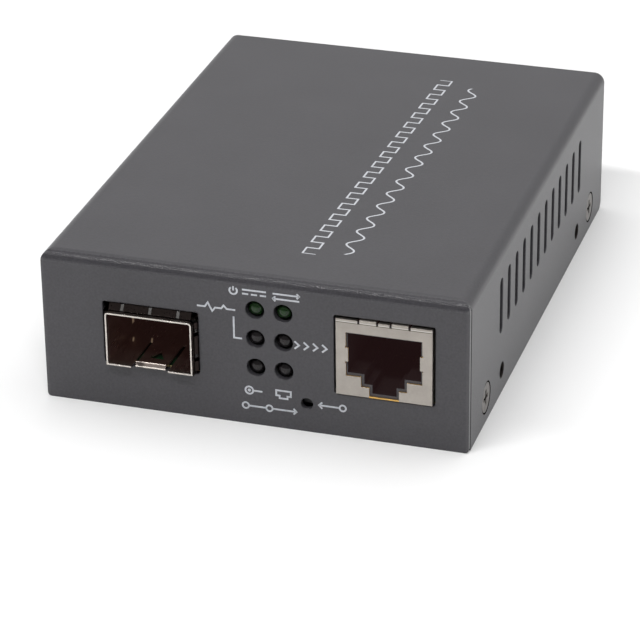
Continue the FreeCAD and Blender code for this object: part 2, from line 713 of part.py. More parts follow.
def bowed_fingers(half, bow, slits):
    """Row of spring fingers over a wall at z = 0, slit apart: each bows out from the band and back."""
    start = cage_front_y + collar_setback + collar_band / 2
    out = touch_gap + collar_sheet
    crest = bow - touch_gap
    band_end = start + collar_band / 2
    path = [(start, out), (band_end, out), (band_end + finger_rise, crest),
            (band_end + finger_rise + finger_crest, crest),
            (band_end + finger_rise + finger_crest + finger_fall, out)]
    lows = [-half] + [slit + finger_slit / 2 for slit in slits]
    highs = [slit - finger_slit / 2 for slit in slits] + [half]
    return [strip("YZ", path, 0.0, -collar_sheet, low, high) for low, high in zip(lows, highs)]


def collar_fingers():
    """The collar's fingers: a row over the cage and a row down each side."""
    over = bowed_fingers(cage_width / 2 - finger_corner_gap, cage_top_gap,
                         evenly(top_slit_count, top_slit_pitch))
    fingers = [finger.translated(V(cage_x, 0, cage_top)) for finger in over]
    middle_z = (cage_under + cage_top) / 2
    beside = bowed_fingers(cage_height / 2 - finger_corner_gap, cage_side_gap,
                           evenly(side_slit_count, side_slit_pitch))
    for side in (-1, 1):
        for finger in beside:
            turned = finger.copy().rotate(V(0, 0, 0), V(0, 1, 0), 90 * side)
            fingers.append(turned.translated(V(cage_x + side * cage_width / 2, 0, middle_z)))
    return fingers


def sfp_spring_collar():
    """Springy collar round the cage's mouth: a thin band with fingers that bear on the window's edge.

    The band is open under the latch tongue, which moves down there.
    """
    start = cage_front_y + collar_setback
    outer = touch_gap + collar_sheet
    middle = (cage_x, (cage_under + cage_top) / 2)
    bend = cage_bend + cage_sheet
    size = (cage_width + 2 * outer, cage_height + 2 * outer)
    hole = (cage_width + 2 * touch_gap, cage_height + 2 * touch_gap)
    band = prism("XZ", rectangle(middle, size), [collar_sheet, collar_sheet, bend + outer, bend + outer],
                 start, start + collar_band)
    room = latch_width / 2 + latch_slit
    low_y, high_y = start - margin, start + collar_band + margin
    band = band.cut([
        prism("XZ", rectangle(middle, hole), [0, 0, bend, bend], low_y, high_y),
        box((cage_x - room, cage_x + room), (low_y, high_y), (cage_under - margin, cage_under + margin))])
    return joined([band] + collar_fingers())


def host_cavity():
    """The host socket's slot: low and high z."""
    middle = board_top + host_slot_level
    return middle - host_slot_height / 2, middle + host_slot_height / 2


def sfp_host_socket():
    """Edge socket at the back of the cage that takes the module's contact board."""
    body = box((cage_x - host_width / 2, cage_x + host_width / 2), (host_front_y, host_rear_y),
               (board_top, board_top + host_height))
    low, high = host_cavity()
    slot = box((cage_x - host_slot_width / 2, cage_x + host_slot_width / 2),
               (host_front_y - margin, host_rear_y + margin), (low, high))
    flare = prism("YZ", [(host_front_y - 0.2, low - 0.5), (host_front_y + 0.6, low),
                         (host_front_y + 0.6, high), (host_front_y - 0.2, high + 0.5)], 0.0,
                  cage_x - host_slot_width / 2, cage_x + host_slot_width / 2)
    return [body.cut([slot, flare])]


def sfp_host_contacts():
    """Two rows of contacts in the host socket: the lower row's feet in front, the upper row's behind."""
    low, high = host_cavity()
    t = host_contact_thickness
    clear = 0.08
    foot = board_top + t / 2
    front = host_front_y - clear - t / 2
    rear = host_rear_y + clear + t / 2
    lower = [(front - 0.9, foot), (front, foot), (front, low + clear + t / 2),
             (host_rear_y - 2.0, low + clear + t / 2)]
    upper = [(rear + 0.9, foot), (rear, foot), (rear, high - clear - t / 2),
             (host_front_y + 1.2, high - clear - t / 2)]
    made = []
    for x in evenly(host_pairs, host_pitch, cage_x):
        for path in (lower, upper):
            made.append(strip("YZ", path, 0.0, t, x - host_contact_width / 2,
                              x + host_contact_width / 2, -t / 2))
    return made


# ---- Network socket --------------------------------------------------------------------------
def plug_outline(inset, key_inset):
    """Front view of the plug's opening: a wide body, a step and a key for the latch below it."""
    half, top, bottom = plug_width / 2 - inset, plug_top - inset, plug_bottom + key_inset
    step, key = latch_step_width / 2 - key_inset, latch_key_width / 2 - key_inset
    shelf = plug_bottom - latch_step_depth + key_inset
    floor = socket_under + key_tie + key_inset
    right = [(key, floor), (key, shelf), (step, shelf), (step, bottom), (half, bottom), (half, top)]
    left = [(-x, z) for x, z in reversed(right)]
    return [(socket_x + x, z) for x, z in right + left]


def rj45_shield():
    """Folded metal shield: front with the plug's opening, roof, side walls and back, and its springs."""
    half = socket_width / 2
    shell = box((socket_x - half, socket_x + half), (socket_front_y, socket_rear_y),
                (socket_under, socket_top))
    inner = half - socket_sheet
    hollow = box((socket_x - inner, socket_x + inner),
                 (socket_front_y + socket_sheet, socket_rear_y - socket_sheet),
                 (socket_under - margin, socket_top - socket_sheet))
    opening = prism("XZ", plug_outline(0, 0), 0.0, socket_front_y - margin, socket_front_y + socket_sheet)
    tab_z = socket_under + side_tab_level
    tabs, notches = [], []
    for side in (-1, 1):
        edge = socket_x + side * plug_width / 2
        tab_x = (edge - side * side_tab_reach, edge + side * side_tab_reach)
        tabs.append(box(tab_x, (socket_front_y, socket_front_y + socket_sheet),
                        (tab_z - side_tab_height / 2, tab_z + side_tab_height / 2)))
        for end in (-1, 1):
            notch_z = tab_z + end * (side_tab_height + side_tab_notch) / 2
            notches.append(box((edge - side * side_tab_reach, edge + side * side_tab_root),
                               (socket_front_y - margin, socket_front_y + socket_sheet),
                               (notch_z - side_tab_notch / 2, notch_z + side_tab_notch / 2)))
    spring_half = shield_spring_width / 2
    for x in shield_spring_places():
        for low in (x - spring_half - shield_slit, x + spring_half):
            notches.append(box((low, low + shield_slit),
                               (socket_front_y - margin, socket_front_y + shield_slit_length),
                               (socket_top - shield_slit_depth, socket_top + margin)))
    shell = joined([shell.cut([hollow, opening])] + tabs).cut(notches)
    return joined([shell] + [shield_spring(x) for x in shield_spring_places()])


def shield_spring_places():
    """Middles of the two springs on the shield's roof."""
    return evenly(2, shield_spring_spread, socket_x)


def shield_spring(x):
    """Spring on the shield's roof: up from its front edge, and back down behind the panel."""
    front = socket_front_y + touch_gap
    path = [(front, socket_top - socket_sheet), (front, socket_top + shield_spring_rise * 0.5),
            (front + shield_spring_length * 0.3, socket_top + shield_spring_rise),
            (front + shield_spring_length, socket_top + touch_gap)]
    return strip("YZ", path, 0.0, -socket_sheet * 0.6, x - shield_spring_width / 2,
                 x + shield_spring_width / 2)


def wire_places():
    """Where the eight contact wires go through the board, in two staggered rows."""
    across = evenly(wire_count, wire_pitch, socket_x)
    return [(x, socket_rear_y - wire_row_insets[i % 2]) for i, x in enumerate(across)]


def wire_level():
    """Height at which the contact wires run forward over the plug's hollow."""
    return plug_top - liner + wire_pocket / 2


def rj45_housing():
    """Black housing in the shield: the plug's hollow, and a pocket over and behind it for the wires."""
    half = socket_width / 2 - socket_sheet - housing_gap
    front = socket_front_y + socket_sheet + housing_gap
    rear = socket_rear_y - socket_sheet - housing_gap
    block = box((socket_x - half, socket_x + half), (front, rear),
                (board_top, socket_top - socket_sheet - housing_gap))
    hollow_end = socket_front_y + socket_depth
    hollow = prism("XZ", plug_outline(liner, key_liner), 0.0, front - margin, hollow_end)
    row = (wire_count * wire_pitch) / 2 + comb_row_overlap
    roof = plug_top - liner
    pocket = box((socket_x - row, socket_x + row), (front + housing_wall, rear - housing_wall),
                 (roof - liner, roof + wire_pocket))
    well = box((socket_x - row, socket_x + row), (hollow_end + comb_clearance, rear - housing_wall),
               (board_top - margin, roof))
    return [block.cut([hollow, pocket, well])]


def rj45_wire_comb():
    """Comb behind the plug's hollow that keeps the eight wires apart on their way down."""
    row = (wire_count * wire_pitch) / 2 + comb_row_overlap - housing_gap
    hollow_end = socket_front_y + socket_depth
    low_y = hollow_end + comb_clearance + housing_gap
    high_y = socket_rear_y - socket_sheet - housing_wall - 2 * housing_gap
    comb = box((socket_x - row, socket_x + row), (low_y, high_y),
               (board_top, plug_top - liner - comb_top_gap))
    grooves = []
    for x, y in wire_places():
        groove = (wire_width / 2 + comb_play, wire_thickness / 2 + comb_play)
        grooves.append(box((x - groove[0], x + groove[0]), (y - groove[1], y + groove[1]),
                           (board_top - margin, socket_top)))
    return [comb.cut(grooves)]


def rj45_contacts():
    """Eight gilded wires: up through the comb, forward over the hollow, and sloping back down into it."""
    level = wire_level()
    bend_y = socket_front_y + wire_setback
    curl_y, curl_z = bend_y - wire_curl, level - wire_curl_drop
    made = []
    for x, y in wire_places():
        path = [(y, board_under - lead_drop), (y, level), (bend_y, level), (curl_y, curl_z),
                (curl_y + wire_slope, curl_z - wire_slope_drop)]
        made.append(strip("YZ", path, 0.0, wire_thickness, x - wire_width / 2, x + wire_width / 2,
                          -wire_thickness / 2))
    return made


# ---- Indicator lamps -------------------------------------------------------------------------
def lamp_lead_places():
    """Where the lamps' leads go through the board: each row further back than the one below it."""
    first = lamp_back_y + lamp_lead_setback
    return [(x, first + row * lamp_row_step) for column in lamp_columns
            for x in evenly(2, lamp_lead_spread, column) for row in range(len(lamp_rows))]


def lamp_holder(column):
    """Black holder for a column of three lamps, open behind for their leads, stepped at the back."""
    half = holder_width / 2
    x = lamp_columns[column]
    top = lamp_rows[-1] + holder_top
    profile = [(holder_front_y, board_top), (holder_rear_y + 2 * lamp_row_step, board_top),
               (holder_rear_y + 2 * lamp_row_step, board_top + holder_foot),
               (holder_rear_y, board_top + holder_foot),
               (holder_rear_y, top), (holder_front_y, top)]
    block = prism("YZ", profile, [0, 0, 0, 0, 1.0, 0], x - half, x + half)
    cutters = []
    seat_y = lamp_back_y - lamp_flange - holder_fit
    bore = (lamp_radius + holder_fit) / math.cos(math.pi / lamp_sides)
    pocket = lamp_flange_radius + holder_fit
    for z in lamp_rows:
        cutters.append(bar(bore, V(x, holder_front_y - margin, z), V(x, seat_y + margin, z), lamp_sides))
    cutters.append(box((x - pocket, x + pocket), (seat_y, holder_rear_y + margin),
                       (lamp_rows[0] - pocket, lamp_rows[-1] + pocket)))
    for lead_x, lead_y in lamp_lead_places():
        if abs(lead_x - x) < half:
            cutters.append(box((lead_x - lead_hole / 2, lead_x + lead_hole / 2),
                               (lead_y - lead_hole / 2, lead_y + lead_hole / 2),
                               (board_top - margin, lamp_rows[0])))
    return block.cut(cutters)


def lamp(column, row):
    """Round-nosed 3 mm lamp with a flange at its back, pointing out through the front panel."""
    shoulder = lamp_length - lamp_radius
    profile = [(lamp_flange_radius, 0), (lamp_flange_radius, lamp_flange), (lamp_radius, lamp_flange),
               (lamp_radius, shoulder)]
    profile += [(lamp_radius * math.cos(turn), shoulder + lamp_radius * math.sin(turn))
                for turn in (math.radians(30), math.radians(58))]
    profile.append((lamp_radius * 0.2, lamp_length))
    return stood(ringed(profile, lamp_sides), V(lamp_columns[column], lamp_back_y, lamp_rows[row]),
                 V(0, -1, 0))


def lamp_leads():
    """Two bent leads behind every lamp, down through the board."""
    made = []
    for index, (x, y) in enumerate(lamp_lead_places()):
        z = lamp_rows[index % len(lamp_rows)]
        path = [(lamp_back_y, z), (y, z), (y, board_under - lead_drop)]
        made.append(strip("YZ", path, 0.0, lead_size, x - lead_size / 2, x + lead_size / 2, -lead_size / 2))
    return made


# ---- Test switch -----------------------------------------------------------------------------
def diag_button():
    """Flat button behind the pin hole, kept in the switch by a wider heel."""
    heel_half = button_width / 2 + button_heel_extra
    stem = box((button_x - button_width / 2, button_x + button_width / 2),
               (button_front_y, switch_front_y + switch_wall + button_fit + button_heel / 2),
               (button_z - button_height / 2, button_z + button_height / 2))
    heel_y = switch_front_y + switch_wall + button_fit
    heel = box((button_x - heel_half, button_x + heel_half), (heel_y, heel_y + button_heel),
               (button_z - button_height / 2, button_z + button_height / 2))
    return [joined([stem, heel])]


def diag_switch_body():
    """Body of the side-pressed switch under the board, hollow round the button's heel and the dome."""
    half = switch_width / 2
    body = box((button_x - half, button_x + half), (switch_front_y, switch_rear_y),
               (board_under - switch_height, board_under))
    mouth_half = button_width / 2 + button_fit
    tall = button_height / 2 + button_fit
    mouth = box((button_x - mouth_half, button_x + mouth_half),
                (switch_front_y - margin, switch_front_y + switch_wall + button_heel),
                (button_z - tall, button_z + tall))
    room_half = button_width / 2 + button_heel_extra + button_fit
    room_tall = max(tall, dome_radius + press_gap)
    room_end = switch_front_y + switch_wall + 2 * button_fit + button_heel + dome_rise + dome_sheet
    room = box((button_x - room_half, button_x + room_half), (switch_front_y + switch_wall, room_end),
               (button_z - room_tall, button_z + room_tall))
    return [body.cut([mouth, room])]


def diag_switch_dome():
    """Domed snap disc behind the button's heel, which clicks flat when it is pressed."""
    outer = ringed([(dome_radius, 0), (dome_radius * 0.8, dome_rise * 0.6),
                    (dome_radius * 0.35, dome_rise)], small_sides)
    inner = ringed([(dome_radius, -dome_sheet), (dome_radius * 0.8, dome_rise * 0.6 - dome_sheet),
                    (dome_radius * 0.35, dome_rise - dome_sheet)], small_sides)
    base_y = switch_front_y + switch_wall + 2 * button_fit + button_heel + dome_rise
    return [stood(outer.cut(inner), V(button_x, base_y, button_z), V(0, -1, 0))]


def diag_switch_frame():
    """Thin metal frame round the switch body, with its two tails soldered to the board."""
    half = switch_width / 2 + press_gap
    low = board_under - switch_height - press_gap
    path = [(button_x - half, board_under), (button_x - half, low), (button_x + half, low),
            (button_x + half, board_under)]
    return [strip("XZ", path, 0.0, -switch_cap, switch_front_y + 0.4, switch_rear_y - 0.4)]


# ---- Power jack ------------------------------------------------------------------------------
def jack_terminal_places():
    """Middle, width and depth of the slot in the board for each of the jack's three terminals."""
    t = jack_leaf_thickness
    return [(jack_x, jack_front_y - 0.1 - t / 2, jack_terminal_width, t),
            (jack_x, jack_front_y + jack_spring_setback, jack_terminal_width, t),
            (jack_x - jack_width / 2 + jack_switch_inset, jack_front_y + jack_switch_setback, t,
             jack_terminal_width)]


def dc_jack_body():
    """Black moulded power jack: a block with a round mouth and pockets for its contacts."""
    half = jack_width / 2
    block = box((jack_x - half, jack_x + half), (jack_front_y, jack_face_y),
                (board_top, board_top + jack_height))
    rim = [edge for edge in block.Edges
           if abs(edge.CenterOfMass.y - jack_face_y) < tiny]
    block = block.makeChamfer(jack_chamfer, rim)
    bore_end = jack_face_y - jack_bore_depth
    axis_end = V(jack_x, bore_end, jack_axis_z)
    cutters = [rod(jack_bore_radius, axis_end, V(jack_x, jack_face_y + margin, jack_axis_z)),
               bar(jack_pin_radius + 0.1, V(jack_x, jack_front_y - margin, jack_axis_z), axis_end)]
    leaf_half = jack_leaf_width / 2 + hole_gap
    cutters.append(box((jack_x - leaf_half, jack_x + leaf_half),
                       (jack_front_y + jack_spring_setback - jack_slot_play,
                        jack_face_y - jack_spring_mouth + jack_slot_play),
                       (board_top - margin, jack_axis_z - jack_bore_radius + jack_slot_rise)))
    pocket_x = jack_x - half + jack_pocket_wall
    pocket_y = jack_front_y + jack_pocket_start
    cutters.append(box((pocket_x, pocket_x + jack_pocket_width), (pocket_y, pocket_y + jack_pocket_length),
                       (board_top - margin, jack_axis_z + jack_switch_half + 2 * liner)))
    return [block.cut(cutters)]


def dc_jack_pin():
    """Round centre pin with a domed tip, and its terminal down the back of the jack."""
    reach = jack_depth - jack_pin_inset + 0.1 + jack_leaf_thickness
    tip = jack_pin_radius * 0.6
    profile = [(jack_pin_radius, 0), (jack_pin_radius, reach - tip), (jack_pin_radius * 0.75, reach - 0.25),
               (jack_pin_radius * 0.35, reach)]
    pin = stood(ringed(profile, head_sides),
                V(jack_x, jack_front_y - 0.1 - jack_leaf_thickness, jack_axis_z), V(0, 1, 0))
    x, y, width, depth = jack_terminal_places()[0]
    tail = box((x - width / 2, x + width / 2), (y - depth / 2, y + depth / 2),
               (board_under - lead_drop, jack_axis_z + 1.6))
    return [joined([pin, tail])]


def dc_jack_spring():
    """Sleeve contact: a leaf along the bottom of the bore that rises towards the back."""
    x, y, width, depth = jack_terminal_places()[1]
    mouth = jack_face_y - jack_spring_mouth
    low = jack_axis_z - jack_bore_radius
    path = [(y, board_under - lead_drop), (y, low - jack_spring_root), (y + jack_spring_root, low),
            (y + jack_spring_crest, low + jack_spring_crest_rise),
            (mouth - jack_spring_lip, low + jack_spring_lip_rise), (mouth, low - jack_spring_lip_drop)]
    leaf = strip("YZ", path, 0.0, depth, x - jack_leaf_width / 2, x + jack_leaf_width / 2, -depth / 2)
    narrow = [box((x + side * width / 2, x + side * (jack_leaf_width / 2 + margin)), (y - 1.0, y + 0.4),
                  (board_under - 2 * lead_drop, board_top + 0.4)) for side in (-1, 1)]
    return [leaf.cut(narrow)]


def dc_jack_switch_leaf():
    """Switched contact at the side of the bore, with its terminal straight down."""
    x, y, depth, width = jack_terminal_places()[2]
    tail = box((x - depth / 2, x + depth / 2), (y - width / 2, y + width / 2),
               (board_under - lead_drop, jack_axis_z - jack_switch_half))
    blade = box((x - depth / 2, x + depth / 2), (y - width / 2, y + jack_switch_reach),
                (jack_axis_z - jack_switch_half, jack_axis_z + jack_switch_half))
    return [joined([tail, blade])]


# ---- Parts on the board ----------------------------------------------------------------------
def gull_leads(place, size, count, pitch):
    """Bent leads along the two long sides of a moulded body that stands on the board."""
    x, y = place
    t = gull_thickness
    middle = board_top + size[2] * 0.4
    made = []
    for side in (-1, 1):
        wall = y + side * size[1] / 2
        knee, foot = wall + side * gull_reach * 0.45, board_top + t / 2
        path = [(wall - side * gull_root, middle), (knee, middle), (knee, foot),
                (wall + side * gull_reach, foot)]
        for lead_x in evenly(count, pitch, x):
            made.append(strip("YZ", path, 0.0, t, lead_x - gull_width / 2, lead_x + gull_width / 2, -t / 2))
    return made


def moulded_block(place, size, stand_off, draft):
    """Moulded body on the board, its top a little smaller than its middle."""
    x, y = place
    width, depth, height = size
    z0, z1 = board_top + stand_off, board_top + height
    low = rectangle((x, y), (width, depth))
    high = rectangle((x, y), (width - 2 * draft, depth - 2 * draft))
    wires = [Part.makePolygon([V(a, b, z) for a, b in ring + ring[:1]])
             for ring, z in ((low, z0), (high, z1))]
    return Part.makeLoft(wires, True, True)


def converter_chip():
    """Flat square chip that converts between the two kinds of port, with its corner mark."""
    x, y = chip_place
    body = prism("XY", rectangle(chip_place, (chip_side, chip_side)), 0.0, board_top, board_top + chip_height)
    mark = V(x - chip_side / 2 + 1.2, y - chip_side / 2 + 1.2, board_top + chip_height - 0.1)
    return [body.cut(bar(0.4, mark, mark + V(0, 0, margin)))]


def memory_chip():
    """Small eight-lead memory."""
    body = moulded_block(memory_place, memory_size, 0.1, 0.15)
    return [joined([body] + gull_leads(memory_place, memory_size, 4, memory_lead_pitch))]


def isolation_transformer():
    """Moulded block of signal transformers between the network socket and the chip."""
    body = moulded_block(isolator_place, isolator_size, 0.15, 0.25)
    return [joined([body] + gull_leads(isolator_place, isolator_size, 8, isolator_lead_pitch))]


def crystal():
    """Drawn metal can of the crystal, on its flat base plate."""
    width, depth, height = crystal_size
    flange = 0.35
    base = prism("XY", rectangle(crystal_place, (width + 2 * flange, depth + 2 * flange)),
                 depth / 2 + flange, board_top, board_top + 0.5, 3)
    can = prism("XY", rectangle(crystal_place, (width, depth)), depth / 2, board_top,
                board_top + height, 3)
    return [joined([base, can])]


def voltage_regulator():
    """Regulator with a wide heat tab on one side and three leads on the other."""
    x, y = regulator_place
    width, depth, height = regulator_size
    body = moulded_block(regulator_place, regulator_size, 0.05, 0.2)
    reach, metal = depth / 2 + regulator_tab, (board_top, board_top + regulator_metal)
    root, half, leg_half = depth / 2 - regulator_root, regulator_tab_width / 2, regulator_leg_width / 2
    tab = box((x - half, x + half), (y + root, y + reach), metal)
    legs = [box((leg - leg_half, leg + leg_half), (y - reach, y - root), metal)
            for leg in evenly(3, regulator_leg_pitch, x)]
    return [joined([body, tab] + legs)]


def power_inductor():
    """Shielded square inductor with cut corners and its round core showing on top."""
    width, depth, height = inductor_size
    body = prism("XY", rectangle(inductor_place, (width, depth)), 1.6, board_top, board_top + height, 1)
    x, y = inductor_place
    ring = bar(width * 0.42, V(x, y, board_top + height - 0.25), V(x, y, board_top + height + margin))
    core = bar(width * 0.36, V(x, y, board_top + height - 0.5), V(x, y, board_top + height + 2 * margin))
    return [body.cut(ring.cut(core))]


def capacitor(place, radius, height):
    """Upright electrolytic capacitor: a can with a rounded top rim and two leads through the board."""
    x, y = place
    rim = 0.4
    profile = [(radius, 0.1), (radius, height - rim), (radius - rim, height)]
    can = stood(ringed(profile, head_sides), V(x, y, board_top), V(0, 0, 1))
    leads = [box((lead - lead_size / 2, lead + lead_size / 2), (y - lead_size / 2, y + lead_size / 2),
                 (board_under - lead_drop, board_top + 0.2)) for lead in evenly(2, capacitor_lead_spread, x)]
    return [joined([can] + leads)]


def chip_passives():
    """Small ceramic capacitors and resistors round the chip and along the power path."""
    width, depth, height = passive_size
    cx, cy = chip_place
    reach = chip_side / 2 + 1.8
    places = [(x, cy + reach) for x in evenly(4, passive_pitch, cx)]
    places += [(cx + reach + 0.4, y) for y in evenly(4, passive_pitch, cy)]
    places += [(x, inductor_place[1] + inductor_size[1] / 2 + 1.5)
               for x in evenly(3, passive_pitch, inductor_place[0])]
    return [box((x - width / 2, x + width / 2), (y - depth / 2, y + depth / 2),
                (board_top, board_top + height)) for x, y in places]


# ---- Assembly --------------------------------------------------------------------------------
LAMPS = {
    "lamp_fibre": (0, 0), "lamp_status": (0, 1), "lamp_power": (0, 2),
    "lamp_copper": (1, 0), "lamp_speed": (1, 1), "lamp_duplex": (1, 2),
}


def all_pieces():
    """Every piece by name; a piece with several solids is a list."""
    pieces = {
        "cover": cover(),
        "base_tray": base_tray(),
        "cover_screws": cover_screws(),
        "board_standoffs": board_standoffs(),
        "board_screws": board_screws(),
        "circuit_board": circuit_board(),
        "sfp_cage_hood": sfp_cage_hood(),
        "sfp_cage_floor": sfp_cage_floor(),
        "sfp_spring_collar": sfp_spring_collar(),
        "sfp_host_socket": sfp_host_socket(),
        "sfp_host_contacts": sfp_host_contacts(),
        "rj45_shield": rj45_shield(),
        "rj45_housing": rj45_housing(),
        "rj45_wire_comb": rj45_wire_comb(),
        "rj45_contacts": rj45_contacts(),
        "lamp_holder_left": lamp_holder(0),
        "lamp_holder_right": lamp_holder(1),
        "lamp_leads": lamp_leads(),
        "diag_button": diag_button(),
        "diag_switch_body": diag_switch_body(),
        "diag_switch_dome": diag_switch_dome(),
        "diag_switch_frame": diag_switch_frame(),
        "dc_jack_body": dc_jack_body(),
        "dc_jack_pin": dc_jack_pin(),
        "dc_jack_spring": dc_jack_spring(),
        "dc_jack_switch_leaf": dc_jack_switch_leaf(),
        "converter_chip": converter_chip(),
        "memory_chip": memory_chip(),
        "isolation_transformer": isolation_transformer(),
        "crystal": crystal(),
        "voltage_regulator": voltage_regulator(),
        "power_inductor": power_inductor(),
        "input_capacitor": capacitor(input_capacitor_place, input_capacitor_radius,
                                     input_capacitor_height),
        "output_capacitor": capacitor(output_capacitor_place, output_capacitor_radius,
                                      output_capacitor_height),
        "chip_passives": chip_passives(),
    }
    for name, (column, row) in LAMPS.items():
        pieces[name] = lamp(column, row)
    return pieces


os.makedirs("parts", exist_ok=True)
for name, made in all_pieces().items():
    shape = Part.makeCompound(made) if isinstance(made, list) else made
    shape.exportStep(f"parts/{name}.step")
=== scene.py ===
"""Looks of a small fibre media converter: a folded dark case with a module slot and a network socket.

The sections follow the case as it is put together: tray, board and its parts, ports, lamps, cover,
screws and printing, and then the table it is shown on. Metres, +Z up, front panel facing -Y.
"""
import bpy
import numpy as np
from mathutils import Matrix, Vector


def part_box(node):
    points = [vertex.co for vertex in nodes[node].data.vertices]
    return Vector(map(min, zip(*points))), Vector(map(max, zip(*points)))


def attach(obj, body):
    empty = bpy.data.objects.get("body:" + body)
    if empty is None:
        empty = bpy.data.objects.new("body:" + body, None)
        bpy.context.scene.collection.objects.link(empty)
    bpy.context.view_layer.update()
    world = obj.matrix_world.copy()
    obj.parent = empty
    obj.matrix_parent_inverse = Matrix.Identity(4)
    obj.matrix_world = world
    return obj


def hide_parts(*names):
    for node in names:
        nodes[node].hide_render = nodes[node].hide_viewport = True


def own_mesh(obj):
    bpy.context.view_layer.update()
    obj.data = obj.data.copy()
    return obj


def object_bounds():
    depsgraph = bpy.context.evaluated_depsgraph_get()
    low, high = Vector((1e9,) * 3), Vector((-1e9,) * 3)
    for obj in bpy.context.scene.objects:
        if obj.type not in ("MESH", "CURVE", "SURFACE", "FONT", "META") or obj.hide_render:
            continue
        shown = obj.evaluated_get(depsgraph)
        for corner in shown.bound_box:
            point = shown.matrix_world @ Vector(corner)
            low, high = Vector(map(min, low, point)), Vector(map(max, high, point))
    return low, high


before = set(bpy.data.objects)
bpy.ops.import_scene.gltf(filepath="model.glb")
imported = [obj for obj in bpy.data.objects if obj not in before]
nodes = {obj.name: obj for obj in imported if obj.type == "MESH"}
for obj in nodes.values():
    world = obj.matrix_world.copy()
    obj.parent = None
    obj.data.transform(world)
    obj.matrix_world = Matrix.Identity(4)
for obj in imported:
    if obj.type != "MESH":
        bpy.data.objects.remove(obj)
solid_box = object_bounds()
mm = 0.001


# ---- Tray ------------------------------------------------------------------------------------
# Floor, flanges and rear panel are one sheet of steel, folded and then powder coated dark grey.
# The powder melts into a fine sandy skin that dulls every reflection.
class Field:
    """A socket of a finish. Arithmetic on it adds the Math node that works the value out."""

    def __init__(self, finish, socket):
        self.finish = finish
        self.socket = socket

    def calc(self, operation, *others):
        """One Math node on this value and any others."""
        return self.finish.math(operation, self, *others)

    def __add__(self, other):
        return self.calc("ADD", other)

    def __sub__(self, other):
        return self.calc("SUBTRACT", other)

    def __rsub__(self, other):
        return self.finish.math("SUBTRACT", other, self)

    def __mul__(self, other):
        return self.calc("MULTIPLY", other)

    def __truediv__(self, other):
        return self.calc("DIVIDE", other)

    __radd__ = __add__
    __rmul__ = __mul__

    def size(self):
        """The value without its sign."""
        return self.calc("ABSOLUTE")

    def either(self, other):
        """The larger of two masks, so 1 where either of them is."""
        return self.calc("MAXIMUM", other)

    def ramp(self, low, high):
        """0 below low, 1 above high, and a straight line between; low may be the larger."""
        return self.finish.node("ShaderNodeMapRange", {"clamp": True},
                                {"Value": self, "From Min": low, "From Max": high})

    def within(self, low, high, soft):
        """1 between low and high, falling to 0 over soft on both sides."""
        return self.ramp(low - soft, low) * self.ramp(high + soft, high)


class Finish:
    """Nodes of a material or of the room. Constants go on its shader; node() adds everything else."""

    def __init__(self, name, colour=None, owner=None, **constants):
        self.material = owner or bpy.data.materials.new(name)
        self.material.use_nodes = True
        self.tree = self.material.node_tree
        self.shader = self.tree.nodes["Background" if owner else "Principled BSDF"]
        if colour:
            self.set("Base Color", colour)
        for key, value in constants.items():
            self.set(key.replace("_", " ").title().replace("Ior", "IOR"), value)

    def plug(self, socket, value):
        """Links a Field to a socket, or writes a number, a colour or a vector on it."""
        if isinstance(value, Field):
            self.tree.links.new(value.socket, socket)
        elif isinstance(value, tuple) and socket.type == "RGBA":
            socket.default_value = (*value[:3], 1.0)
        else:
            socket.default_value = value

    def set(self, name, value):
        """Fills a socket of the shader, found by its name."""
        self.plug(self.shader.inputs[name], value)

    def node(self, kind, settings, values, output=0):
        """A node of a kind, with its settings and the values of its sockets. Gives one output."""
        made = self.tree.nodes.new(kind)
        for key, value in settings.items():
            setattr(made, key, value)
        for key, value in values.items():
            self.plug(made.inputs[key], value)
        return Field(self, made.outputs[output])

    def math(self, operation, *values):
        """A Math node with a value for each of its sockets in turn."""
        return self.node("ShaderNodeMath", {"operation": operation}, dict(enumerate(values)))

    def place(self):
        """Object coordinates, which stay with the piece."""
        return self.node("ShaderNodeTexCoord", {}, {}, "Object")

    def axes(self):
        """The three Object coordinates as separate values."""
        place = self.place()
        return [self.node("ShaderNodeSeparateXYZ", {}, {0: place}, axis) for axis in "XYZ"]

    def facing(self, axis):
        """How squarely a face points along an axis, either way, from 0 to 1."""
        normal = self.node("ShaderNodeNewGeometry", {}, {}, "True Normal")
        return self.node("ShaderNodeSeparateXYZ", {}, {0: normal}, axis).size()

    def noise(self, scale, detail=2.0, stretch=None):
        """Soft noise from 0 to 1, with about scale grains to the metre, stretched along an axis."""
        place = self.place()
        if stretch:
            place = self.node("ShaderNodeMapping", {}, {"Vector": place, "Scale": stretch})
        return self.node("ShaderNodeTexNoise", {}, {"Vector": place, "Scale": scale, "Detail": detail})

    def mix(self, first, second, factor):
        """Colour that goes from first to second as factor goes from 0 to 1."""
        return self.node("ShaderNodeMix", {"data_type": "RGBA"}, {0: factor, 6: first, 7: second}, 2)

    def relief(self, height, depth, edge=0.0):
        """Bump of a height field, depth metres from 0 to 1, over edges rounded to a small radius."""
        values = {"Height": height, "Distance": depth, "Strength": 1.0}
        if edge:
            values["Normal"] = self.node("ShaderNodeBevel", {"samples": 6}, {"Radius": edge})
        self.set("Normal", self.node("ShaderNodeBump", {}, values))

    def shade(self, factor):
        """Mixes in a black matte shader where factor is 1, as in a gap that gives no light back."""
        black = self.node("ShaderNodeBsdfPrincipled", {}, {"Base Color": (0.004, 0.003, 0.003),
                                                           "Roughness": 1.0, "Specular IOR Level": 0.0})
        surface = Field(self, self.shader.outputs[0])
        mixed = self.node("ShaderNodeMixShader", {}, {0: factor, 1: surface, 2: black})
        self.plug(self.tree.nodes["Material Output"].inputs["Surface"], mixed)


def dress(finish, *names):
    """Gives nodes of the frame a finish, through their material slots alone."""
    for name in names:
        slots = nodes[name].data.materials
        slots.clear()
        slots.append(finish.material)


